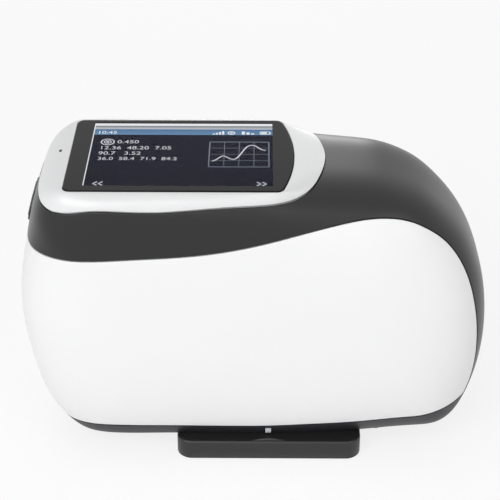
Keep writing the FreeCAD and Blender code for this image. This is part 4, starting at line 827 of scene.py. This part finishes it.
def makeShells():
    wall, gap, edge = housing["wall"], housing["seamGap"], housing["edgeRadius"]
    aboveCover, belowCover = besideSeam(coverSeam, 1), besideSeam(coverSeam, -1)
    aboveFloor = besideSeam(floorSeam, 1)
    bay = roundHole(socketBay["middle"], (0, 1, 0), (0, 0, 1), socketBay["halfSize"], socketBay["corner"])
    holeHalf = (key["ringLength"] / 2 + key["holeMargin"], key["ringWidth"] / 2 + key["holeMargin"])
    keyHole = roundHole(key["middle"], -keyAcross, keyUp, holeHalf, key["ringWidth"] / 2 + key["cornerMargin"])
    for name, node, side in (("nearShell", "near_side_shell", -1), ("farShell", "far_side_shell", 1)):
        bounds = [(belowCover, gap), (aboveFloor, gap), (besideMiddle(side), gap / 2), (bay, 0)]
        addPiece(name, shellPart(bounds, 0, wall, edge), "white_housing", replaced=node)
    skin = shellPart([(aboveCover, 0), (aboveFloor, gap), (outsideFoot, 0), (bay, 0), (keyHole, 0)], 0, wall, edge)
    lap = shellPart([(aboveCover, -3), (belowCover, -2), (aboveFloor, gap + 1), (outsideFoot, 1), (bay, 1),
                     (keyHole, 1)], wall + housing["lapGap"], housing["lapWall"], housing["lapEdge"])
    addPiece("saddleCover", gather([skin, lap]), "black_band", replaced="saddle_cover")


makeShells()

print("stage: screen")
screen = {
    "glassLeft": -69.0,
    "glassStraight": 9.7,  # where the straight sides end
    "glassRight": 14.3,
    "glassHalf": 29.1,
    "glassCorner": 2.5,
    "glassTop": 118.8,
    "glassLow": 117.7,
    "glassRound": 0.15,
    "paneLow": 118.44,
    "paneSunk": 0.004,
    "backTop": 118.33,
    "rimGrowth": 0.85,
    "linerGrowth": 0.42,  # the black liner fills the slot round the glass
    "linerFrom": 0.06,
    "linerSunk": 0.1,
    "linerTuck": 0.28,
    "rimTop": 118.5,
    "columns": 360,
    "crownPower": 1.8,
    "crownTurns": (*np.linspace(0, 12, 4), *np.linspace(16, 90, 22)),
    "footGap": 0.45,
    "footRound": 0.25,
    "footTuck": 1.2,
    "flangeWidth": 4.4,
    "flangeDepth": 4,
    "lip": 0.22,
    "recessPlay": 0.03,
    "recessLow": 117.35,
    "window": -2.2,  # growth of the glass's outline
    "windowLow": 115.7,
    "innerFlange": (2.5, 115.0),
}


def arcPoints(middle, radius, first, last, count):
    angles = np.radians(np.linspace(first, last, count))
    return np.column_stack([middle[0] + radius * np.cos(angles), middle[1] + radius * np.sin(angles)])


def circle(middle, radius, count):
    return arcPoints(middle, radius, 0, 360, count + 1)[:-1]


def roundedBox(middleAlong, middleAside, halfAlong, halfAside, corner, steps=6):
    spots = []
    for start, along, aside in ((180, -1, -1), (270, 1, -1), (0, 1, 1), (90, -1, 1)):
        middle = (middleAlong + along * (halfAlong - corner), middleAside + aside * (halfAside - corner))
        spots.append(arcPoints(middle, corner, start, start + 90, steps))
    return np.vstack(spots)


def glassOutline(growth):
    # anticlockwise from the middle of the left side: straight sides, a bowed right end, round corners
    left, half = screen["glassLeft"] - growth, screen["glassHalf"] + growth
    sag = screen["glassRight"] - screen["glassStraight"]
    bow = (screen["glassHalf"] ** 2 + sag ** 2) / (2 * sag)
    bowMiddle, bowRadius = screen["glassRight"] - bow, bow + growth
    corner = screen["glassCorner"] + growth
    cornerUp = half - corner
    cornerAlong = bowMiddle + math.sqrt((bowRadius - corner) ** 2 - cornerUp ** 2)
    turn = math.degrees(math.atan2(cornerUp, cornerAlong - bowMiddle))
    return bothSides(np.vstack([
        np.column_stack([np.full(60, left), np.linspace(0, -cornerUp, 60)])[:-1],
        arcPoints((left + corner, -cornerUp), corner, 180, 270, 24),
        np.column_stack([np.linspace(left + corner, cornerAlong, 200), np.full(200, -half)])[1:-1],
        arcPoints((cornerAlong, -cornerUp), corner, -90, -turn, 24),
        arcPoints((bowMiddle, 0), bowRadius, -turn, 0, 80)[1:]]))


def nearestOn(spots, outline):
    spans = np.roll(outline, -1, axis=0) - outline
    part = spots[:, None, :] - outline
    share = np.clip((part * spans).sum(2) / np.maximum((spans ** 2).sum(1), 1e-9), 0, 1)
    nearest = ((part - share[..., None] * spans) ** 2).sum(2).argmin(1)
    return outline[nearest] + share[np.arange(len(spots)), nearest, None] * spans[nearest]


def evenGlass(growth):
    # the glass's outline with points at even distances
    ring = glassOutline(growth)
    ring = np.vstack([ring, ring[:1]])
    way = travelled(ring)
    wanted = np.linspace(0, way[-1], screen["columns"], endpoint=False)
    return np.column_stack([np.interp(wanted, way, ring[:, axis]) for axis in (0, 1)])


def facedOut(verts, faces):
    # makes sure that a closed mesh looks outwards
    volume = 0
    for face in faces:
        for here, there in zip(face[1:-1], face[2:]):
            volume += verts[face[0]] @ np.cross(verts[here], verts[there])
    return verts, [face[::-1] for face in faces] if volume < 0 else faces


def ringStack(rings, closed=False):
    return facedOut(np.vstack(rings), ringFaces(len(rings), len(rings[0]), closed))


def lifted(outline, up):
    return np.column_stack([outline, np.broadcast_to(up, len(outline))])


def inwards(outline, distance):
    # the outline moved in along its own normals
    following = np.roll(outline, -1, axis=0)
    turning = np.sum(outline[:, 0] * following[:, 1] - following[:, 0] * outline[:, 1])
    left = leftOf(following - np.roll(outline, 1, axis=0))
    return outline + left * distance * (1 if turning > 0 else -1)


def insetRings(outline, rows):
    # rings given by how far they lie inside an outline, and how high
    return [lifted(inwards(outline, inset), up) for inset, up in rows]


def lowerRound(radius, low, turns):
    # such rows for a rounded lower edge, which starts at the given height
    return [(radius * (1 - math.sin(turn)), low + radius * (1 - math.cos(turn))) for turn in np.radians(turns)]


def upperRound(radius, top, turns):
    return [(radius * (1 - math.cos(turn)), top - radius * (1 - math.sin(turn))) for turn in np.radians(turns)]


def footHeights():
    # the housing's own height along the foot of the bezel
    points, normals, faces, labels = clippedSurface([(outsideFoot, 0)], 0)
    near = points[list(labels)]
    near = near[near[:, 2] > screenEndUp]
    heights = np.array([near[np.linalg.norm(near[:, :2] - spot, axis=1).argmin(), 2] for spot in footRing])
    for step in range(8):
        heights = (np.roll(heights, 1) + heights * 2 + np.roll(heights, -1)) / 4
    return heights


def makeBezel():
    foot = footHeights() + screen["footGap"]
    rim, recess, window = (nearestOn(innerRing, glassOutline(growth)) for growth in (
        screen["rimGrowth"], screen["linerGrowth"] + screen["recessPlay"], screen["window"]))
    top, power, lip, tuck = screen["rimTop"], screen["crownPower"], screen["lip"], screen["footTuck"]
    under, foreEdge = foot - screen["flangeDepth"], screen["footRound"]
    rings = insetRings(footRing, [(screen["flangeWidth"], under), (tuck, under), (tuck, foot),
                                  *lowerRound(foreEdge, foot, (0, 30, 60))])
    low = foot + foreEdge
    for turn in np.radians(screen["crownTurns"]):
        climb, outward = math.sin(turn) ** (2 / power), max(math.cos(turn), 0) ** (2 / power)
        rings.append(lifted(rim + (footRing - rim) * outward, low + (top - low) * climb))
    for turn in np.radians((30, 60, 90)):
        share = 1 - lip / (screen["rimGrowth"] - screen["linerGrowth"]) * (1 - math.sin(turn))
        rings.append(lifted(rim + (recess - rim) * share, top - lip * (1 - math.cos(turn))))
    inset, innerLow = screen["innerFlange"]
    rings += [lifted(recess, screen["recessLow"]), lifted(window, screen["recessLow"]),
              lifted(window, screen["windowLow"]), lifted(inwards(window, -inset), innerLow)]
    addPiece("screenBezel", ringStack(rings, True), "white_bezel", replaced="screen_bezel", angle=35)


lit = {
    "left": -62.4,
    "right": 6.6,
    "half": panel["half"],
    "margin": 0.1,
    "corner": 0.4,
    "up": 118.34,  # the face of the picture, close under the pane
    "layer": 0.02,
    "shift": 0.7,  # its middle lies a little to the far side
}


def makeGlass():
    # one sheet of glass: black behind its border, clear over the picture, with a liner round it
    outline, top, low, edge = evenGlass(0), screen["glassTop"], screen["glassLow"], screen["glassRound"]
    opening = roundedBox((lit["left"] + lit["right"]) / 2, lit["shift"], (lit["right"] - lit["left"]) / 2,
                         lit["half"] + lit["margin"], lit["corner"], screen["columns"] // 4)
    window = nearestOn(outline, opening)
    rings = insetRings(outline, [(0, low), *upperRound(edge, top, (0, 30, 60, 90)), (edge + 0.1, top)])
    rings += [lifted(window, top), lifted(window, low)]
    addPiece("glassBorder", ringStack(rings, True), "screen_glass", replaced="touch_glass", angle=50,
             paint="glass_print")
    pane = [lifted(opening, screen["paneLow"]), lifted(opening, top - screen["paneSunk"])]
    addPiece("glassPane", ringStack(pane), "screen_glass", angle=50)
    back = insetRings(opening, [(0.02, low), (0.02, screen["backTop"])])
    addPiece("glassBack", ringStack(back), "screen_glass", paint="glass_print")
    outer = evenGlass(screen["linerGrowth"])
    inner = nearestOn(outer, evenGlass(screen["linerFrom"]))
    low, high, edge = low - screen["linerTuck"], screen["rimTop"] - screen["linerSunk"], 0.1
    rings = [lifted(outer, low), lifted(outer, high - edge), lifted(outer * 0.7 + inner * 0.3, high),
             lifted(outer * 0.3 + inner * 0.7, high), lifted(inner, high - edge), lifted(inner, low)]
    addPiece("glassLiner", ringStack(rings, True), "black_gasket")


picture = {
    "lines": ((-52.6, 9.9, 2.8, "0.450"), (-59.0, 4.8, 2.8, "12.36  48.20  7.05"), (-59.0, 0.3, 2.8, "90.7   3.52"),
              (-59.0, -4.1, 2.6, "36.0  58.4  71.9  84.2")),  # left, middle, height, figures
    "clock": (1.5, 2.6, "10:45"),
    "chart": (-17.2, 5.2, -10.4, 10.2),
    "curve": (0.22, 0.30, 0.42, 0.38, 0.30, 0.34, 0.55, 0.78, 0.86, 0.82, 0.70, 0.66),
    "bars": (24.0, 21.0, 16.2),  # the lower edges of the three bars at the top
    "strength": (-16.4, 1.2, 4),  # first column, step, number
    "statusMiddle": 17.9,
    "statusBoxes": ((-5.2, -4.0, -1.3, 1.3), (-3.4, -2.2, -1.3, 0.5), (-1.6, -0.4, -1.3, -0.3), (2.3, 4.4, -0.7, 0.7),
                    (5.6, 6.0, -0.5, 0.5)),
    "statusDiscs": ((-9.2, 1.5, 1.0), (-9.2, 0.5, 0.0)),  # middle, radius, radius of the hole
    "battery": (3.7, 1.8, 1.1, 0.3),
    "targetDiscs": ((2.7, 2.2), (1.5, 1.1), (0.6, 0.0)),
    "target": (-56.2, 9.9),
    "arrows": ((-56.7, -1), (2.2, 1)),
    "arrowMiddle": -23.8,
    "arrowHalf": 1.4,
    "arrowStep": 2.0,
}


def pictureSlab(outline, level):
    up = lit["up"] + level * lit["layer"]
    return ringStack([lifted(outline, up - lit["layer"]), lifted(outline, up)])


def middleBox(left, right, low, high, corner):
    return roundedBox((left + right) / 2, (low + high) / 2, (right - left) / 2, (high - low) / 2, corner)


def pictureBox(left, right, low, high, level, corner=0.25):
    return pictureSlab(middleBox(left, right, low, high, corner), level)


def pictureStroke(spots, width, level):
    # a line of even width through points: quads above and below, and a wall round them
    left = leftOf(np.gradient(spots, axis=0)) * width / 2
    up, count = lit["up"] + level * lit["layer"], len(spots)
    outline = np.vstack([spots + left, (spots - left)[::-1]])
    total = 2 * count
    faces = []
    for here in range(count - 1):
        there, otherHere, otherThere = here + 1, total - 1 - here, total - 2 - here
        faces.append([total + here, total + there, total + otherThere, total + otherHere])
        faces.append([here, otherHere, otherThere, there])
    for here in range(total):
        there = (here + 1) % total
        faces.append([here, there, total + there, total + here])
    return facedOut(np.vstack([lifted(outline, up - lit["layer"]), lifted(outline, up)]), faces)


def pictureFrame(outline, width, level):
    return pictureStroke(np.vstack([outline, outline[:1]]), width, level)


def meshOf(holder):
    # the mesh that an object's letters or modifiers give; the object itself goes
    bpy.context.view_layer.update()
    mesh = bpy.data.meshes.new_from_object(holder.evaluated_get(bpy.context.evaluated_depsgraph_get()))
    bpy.data.objects.remove(holder)
    return mesh


def pictureText(words, left, middle, height, level):
    curve = bpy.data.curves.new("words", "FONT")
    curve.body, curve.size, curve.extrude = words, height * 1.35 * mm, lit["layer"] / 2 * mm
    curve.align_y = "CENTER"
    mesh = meshOf(newObject("words", curve))
    verts = np.array([vert.co for vert in mesh.vertices]) / mm + (left, middle, lit["up"] + level * lit["layer"])
    faces = [list(face.vertices) for face in mesh.polygons]
    bpy.data.meshes.remove(mesh)
    bpy.data.curves.remove(curve)
    return verts, faces


def pictureDisc(along, aside, radius, level, inner=0.0):
    if not inner:
        return pictureSlab(circle((along, aside), radius, 32), level)
    return pictureStroke(arcPoints((along, aside), (radius + inner) / 2, 0, 360, 33), radius - inner, level)


def addPicture(name, parts, finish):
    verts, faces = gather(parts)
    verts[:, 1] += lit["shift"]
    addPiece(name, (verts, faces), "display", paint=finish)


def makePicture():
    left, right, half = lit["left"], lit["right"], lit["half"]
    white, silver, blue = picture["bars"]
    addPicture("pictureGround", [pictureBox(left, right, -half, half, 0, lit["corner"])], "display")
    addPicture("pictureWhiteBar", [pictureBox(left, right, white, half + lit["margin"], 1),
                                   pictureBox(left, left + 0.4, -half, white, 2)], "pictureWhite")
    addPicture("pictureSilverBar", [pictureBox(left, right, silver, white, 1, 0.02)], "pictureSilver")
    addPicture("pictureBlueBar", [pictureBox(left, right, blue, silver, 1, 0.02)], "pictureBlue")
    status = picture["statusMiddle"]
    indent, height, words = picture["clock"]
    signs = [pictureText(words, left + indent, status, height, 3)]
    first, step, columns = picture["strength"]
    for column in range(columns):
        foot = first + column * step
        signs.append(pictureBox(foot, foot + 0.8, status - 1.4, status - 0.6 + column * 0.7, 3, 0.1))
    signs += [pictureDisc(along, status, radius, 3, inner) for along, radius, inner in picture["statusDiscs"]]
    signs += [pictureBox(low, high, status + under, status + over, 3, 0.1)
              for low, high, under, over in picture["statusBoxes"]]
    along, *sizes = picture["battery"]
    signs.append(pictureFrame(roundedBox(along, status, *sizes), 0.35, 3))
    addPicture("pictureSigns", signs, "pictureWhite")
    figures = [pictureText(words, first, up, height, 3) for first, up, height, words in picture["lines"]]
    figures += [pictureDisc(*picture["target"], radius, 2, inner) for radius, inner in picture["targetDiscs"]]
    up, half, step = picture["arrowMiddle"], picture["arrowHalf"], picture["arrowStep"]
    for along, side in picture["arrows"]:
        for back in (0, step):
            tip = along + side * (step - back)
            spots = [(tip - side * half, up + half), (tip, up), (tip - side * half, up - half)]
            figures.append(pictureStroke(np.array(spots), 0.6, 2))
    addPicture("pictureFigures", figures, "pictureGrey")
    low, high, bottom, top = picture["chart"]
    shares = np.array(picture["curve"])
    rise = splineBasis(np.linspace(0, 1, len(shares)), np.linspace(0, 1, 80), False) @ shares
    curve = np.column_stack([np.linspace(low + 1.2, high - 1.2, 80), bottom + (top - bottom) * rise])
    addPicture("pictureCurve", [pictureStroke(curve, 0.55, 3)], "pictureGrey")
    lines = [pictureFrame(middleBox(low, high, bottom, top, 0.6), 0.35, 1)]
    for share in (0.25, 0.5, 0.75):
        up, along = bottom + (top - bottom) * share, low + (high - low) * share
        lines.append(pictureBox(low + 0.3, high - 0.3, up - 0.08, up + 0.08, 1, 0.05))
        lines.append(pictureBox(along - 0.08, along + 0.08, bottom + 0.3, top - 0.3, 2, 0.05))
    addPicture("pictureGrid", lines, "pictureLine")


makeBezel()
makeGlass()
makePicture()

statusLight = {
    "middle": (-73.1, 4.0),
    "lens": 0.55,
    "ring": 0.95,
    "low": 113.4,
    "proud": 0.03,
    "ringOutside": ((0, -0.05), (-0.06, 0)),  # further out, higher up
    "ringInside": ((0.1, 0.02), (0, -0.05)),
    "play": 0.02,
    "dome": 0.14,
    "domeLow": -0.06,
}


def makeStatusLight():
    spot, lens, ring, low = (statusLight[label] for label in ("middle", "lens", "ring", "low"))
    above = (spot[0] * mm, spot[1] * mm, 0.13)
    bezelUp = bpy.data.objects["screenBezel"].ray_cast(above, (0, 0, -1))[1].z / mm
    up = bezelUp + statusLight["proud"]
    profile = [(ring, low), *((ring + out, up + over) for out, over in statusLight["ringOutside"]),
               *((lens + out, up + over) for out, over in statusLight["ringInside"]), (lens, low)]
    addPiece("statusRing", ringStack([lifted(circle(spot, radius, 48), height) for radius, height in profile], True),
             "black_gasket")
    lens, up = lens - statusLight["play"], up + statusLight["domeLow"]
    profile = [(lens, low)] + [(lens * math.cos(turn), up + statusLight["dome"] * math.sin(turn))
                               for turn in np.radians((0, 25, 50, 70, 85))]
    addPiece("statusLens", ringStack([lifted(circle(spot, radius, 48), height) for radius, height in profile]),
             "clear_pipe", replaced="status_light_pipe", angle=60)


makeStatusLight()

print("stage: key")


def onKey(rings, closed=False):
    # a stack of rings in the key's own frame, put in its place
    verts = np.array(key["middle"]) + np.vstack(rings) @ keyAxes
    return facedOut(verts, ringFaces(len(rings), len(rings[0]), closed))


def keyRings(profile):
    # rings given by how far they stand out from the key's own outline, and how far out of the housing
    length, width = key["length"] / 2, key["width"] / 2
    return [lifted(roundedBox(0, 0, length + growth, width + growth, width + growth - 0.01, 22), out)
            for growth, out in profile]


def makeKey():
    play, dish, proud, edge = key["play"], key["dish"], key["proud"], key["round"]
    outer = (key["ringLength"] - key["length"]) / 2
    ring = [(outer + step, out) for step, out in key["ringOutside"]]
    ring += [(play + step, out) for step, out in key["ringInside"]]
    addPiece("keyRing", onKey(keyRings(ring), True), "black_band", replaced="button_ring", angle=50)
    profile = [(0, out) for out in key["low"]]
    profile += [(-edge * (1 - math.cos(turn)), proud - edge * (1 - math.sin(turn)))
                for turn in np.radians(np.linspace(0, 90, 6))]
    profile += [(-edge - share * key["dishInset"], proud - dish * (1 - math.cos(share * math.pi)) / 2)
                for share in np.linspace(0, 1, 8)[1:]]
    stem = [lifted(circle((0, 0), key["stemRadius"], 32), out) for out in key["stem"]]
    addPiece("measureKey", gather([onKey(keyRings(profile)), onKey(stem)]), "key_plastic", "measure_key",
             "measure_button", 50)


makeKey()

print("stage: base")
base = {
    "middle": (5.75, 0.0),
    "half": (36.25, 32.6),
    "corner": 6.0,
    "low": 0.4,
    "lowRound": 0.5,
    "high": 8.7,
    "brow": 0.9,  # radius of the upper edge
    "padMargin": 6.0,
    "padHigh": 1.2,
    "port": (5.5, 0.0),
    "ringRadius": 17.0,
    "ringRise": 0.2,
    "ringTop": 9.19,
    "tileRadius": 14.15,
    "tileLow": 5.6,
    "gripLength": 17.0,
    "gripHeight": 0.95,
    "gripRows": ((0, 0.35), (0.15, 0.75), (0.5, 1), (0.7, 1), (2.2, 0.05)),  # how far back, share of the height
}


def makeBase():
    outline = roundedBox(*base["middle"], *base["half"], base["corner"], 24)
    port = np.array(base["port"])
    low, high, brow, radius, edge = base["low"], base["high"], base["brow"], base["ringRadius"], base["lowRound"]
    rings = insetRings(outline, [
        (base["padMargin"], base["padHigh"]), (base["padMargin"], low + 0.05), (edge + 0.1, low),
        *lowerRound(edge, low, (30, 60, 90)), (0, (low + high) / 2), *upperRound(brow, high, np.linspace(0, 90, 7)),
        (brow + 0.3, high)])
    for across, up in ((radius + 0.25, high), (radius, high + base["ringRise"]), (radius - 0.05, base["ringTop"]),
                       (base["tileRadius"], base["ringTop"]), (base["tileRadius"], base["tileLow"])):
        rings.append(lifted(port + unit(outline - port) * across, up))
    front, share = -base["half"][1] + brow, np.linspace(-1, 1, 41)
    grip = []  # low, at the middle of the front edge
    for back, scale in base["gripRows"]:
        rise = base["gripHeight"] * scale * np.cos(share * math.pi / 2) ** 2
        arch = np.column_stack([port[0] + share * base["gripLength"] / 2, np.full(41, front + back),
                                high + rise - 0.05])
        floor = arch[::-1].copy()
        floor[:, 2] = high - 0.6
        grip.append(np.vstack([arch, floor]))
    addPiece("calibrationBase", gather([ringStack(rings), ringStack(grip)]), "base_plastic", "base",
             "calibration_base", 40)


makeBase()

print("stage: screws")
screws = {
    "sizes": {
        "Head Radius": 2.4, "Head Height": 1.4, "Shank Radius": 1.2, "Recess Radius": 1.25, "Recess Depth": 0.8,
        "Thread Pitch": 0.8, "Thread Height": 0.14,
    },
    "chamferShare": 0.22,  # of the head's height
    "faceShare": 0.86,  # of the head's radius
    "armShare": 0.42,  # of the recess's radius
    "plainTurns": 1.2,  # of the pitch, left without a thread
    "sets": (  # name, node, body, low, total height, places
        ("shellScrews", "shell_screws", "instrument", 8.85, 16.3, ((-65, -20), (48, -20), (48, 20), (-65, 20))),
        ("deckScrews", "deck_screws", "instrument", 8.85, 13.5, ((-18.5, -19), (29.5, -19), (29.5, 19), (-18.5, 19))),
        ("bezelScrews", "bezel_screws", "instrument", 109.75, 4.6, ((-68.1, -14), (9.3, -14), (9.3, 14), (-68.1, 14))),
        ("boardScrews", "board_screws", "instrument", 101.15, 6.5, ((-59, -23), (7, -23), (7, 23), (-59, 23))),
        ("apertureScrews", "aperture_screws", "instrument", 10.3, 3.9, ((12.15, 11.52), (-7.8, 0), (12.15, -11.52))),
        ("baseScrews", "base_screws", "base", 1.2, 4.2, ((-18.5, -20.5), (29.5, -20.5), (29.5, 20.5), (-18.5, 20.5))),
    ),
}


def screwTree():
    # a cross-headed screw with its head down, on every point of a mesh
    tree = bpy.data.node_groups.new("screwSet", "GeometryNodeTree")
    sockets = {"Places": "Geometry", **{label: "Float" for label in (*screws["sizes"], "Length")}, "Finish": "Material"}
    tree.interface.new_socket(name="Geometry", in_out="OUTPUT", socket_type="NodeSocketGeometry")
    for label, kind in sockets.items():
        tree.interface.new_socket(name=label, in_out="INPUT", socket_type="NodeSocket" + kind)
    given = addNode(tree, "NodeGroupInput").outputs

    def raised(mesh, up):
        way = addNode(tree, "ShaderNodeCombineXYZ", {"Z": up}).outputs[0]
        return addNode(tree, "GeometryNodeTransform", {"Geometry": mesh, "Translation": way}).outputs[0]

    def rod(lowRadius, topRadius, depth, sides, up):
        inputs = {"Vertices": sides, "Radius Bottom": lowRadius, "Radius Top": topRadius, "Depth": depth}
        return raised(addNode(tree, "GeometryNodeMeshCone", inputs).outputs["Mesh"], up)

    def arm(along, aside):
        inputs = {"X": along, "Y": aside, "Z": times(tree, given["Recess Depth"], 2.0)}
        size = addNode(tree, "ShaderNodeCombineXYZ", inputs).outputs[0]
        return addNode(tree, "GeometryNodeMeshCube", {"Size": size}).outputs["Mesh"]

    def merged(kind, socket, parts, inputs=None, **settings):
        node = addNode(tree, kind, inputs, **settings)
        for part in parts:
            tree.links.new(part, node.inputs[socket])
        return node.outputs[0]

    radius, height, pitch = given["Head Radius"], given["Head Height"], given["Thread Pitch"]
    chamfer = times(tree, height, screws["chamferShare"])
    rim = rod(times(tree, radius, screws["faceShare"]), radius, chamfer, 40, 0.0)
    head = rod(radius, radius, minus(tree, height, chamfer), 40, chamfer)
    narrow, wide = times(tree, given["Recess Radius"], screws["armShare"]), times(tree, given["Recess Radius"], 2.0)
    whole = merged("GeometryNodeMeshBoolean", "Mesh 2", (rim, head), operation="UNION")
    crossed = merged("GeometryNodeMeshBoolean", "Mesh 2", (arm(narrow, wide), arm(wide, narrow)), {"Mesh 1": whole},
                     operation="DIFFERENCE")
    length = minus(tree, given["Length"], height)
    core = minus(tree, given["Shank Radius"], given["Thread Height"])
    shank = rod(core, core, length, 24, height)
    threaded = minus(tree, length, times(tree, pitch, screws["plainTurns"]))
    coil = addNode(tree, "GeometryNodeCurveSpiral", {
        "Resolution": 20, "Rotations": mathNode(tree, "DIVIDE", threaded, pitch), "Start Radius": core,
        "End Radius": core, "Height": threaded}).outputs["Curve"]
    wire = addNode(tree, "GeometryNodeCurvePrimitiveCircle", {"Resolution": 4, "Radius": given["Thread Height"]})
    thread = addNode(tree, "GeometryNodeCurveToMesh", {
        "Fill Caps": True, "Curve": coil, "Profile Curve": wire.outputs["Curve"]}).outputs["Mesh"]
    start = plus(tree, height, times(tree, pitch, screws["plainTurns"] / 2))
    screw = merged("GeometryNodeJoinGeometry", "Geometry", (crossed, shank, raised(thread, start)))
    spread = addNode(tree, "GeometryNodeInstanceOnPoints", {"Points": given["Places"], "Instance": screw})
    real = addNode(tree, "GeometryNodeRealizeInstances", {"Geometry": spread.outputs["Instances"]})
    paint = addNode(tree, "GeometryNodeSetMaterial", {
        "Geometry": real.outputs["Geometry"], "Material": given["Finish"]})
    addNode(tree, "NodeGroupOutput", {"Geometry": paint.outputs["Geometry"]})
    return tree


def makeScrews():
    tree = screwTree()
    sockets = {item.name: item.identifier for item in tree.interface.items_tree if item.in_out == "INPUT"}
    for name, node, body, low, height, places in screws["sets"]:
        mesh = bpy.data.meshes.new(name)
        mesh.from_pydata([(along * mm, aside * mm, low * mm) for along, aside in places], [], [])
        holder = newObject(name + "Places", mesh)
        modifier = holder.modifiers.new("screws", "NODES")
        modifier.node_group = tree
        for label, value in {**screws["sizes"], "Length": height}.items():
            modifier[sockets[label]] = value * mm
        modifier[sockets["Finish"]] = finishes["screw_steel"]
        made = meshOf(holder)
        made.name = name
        made.validate()
        placePiece(name, made, body, node, 40)


makeScrews()
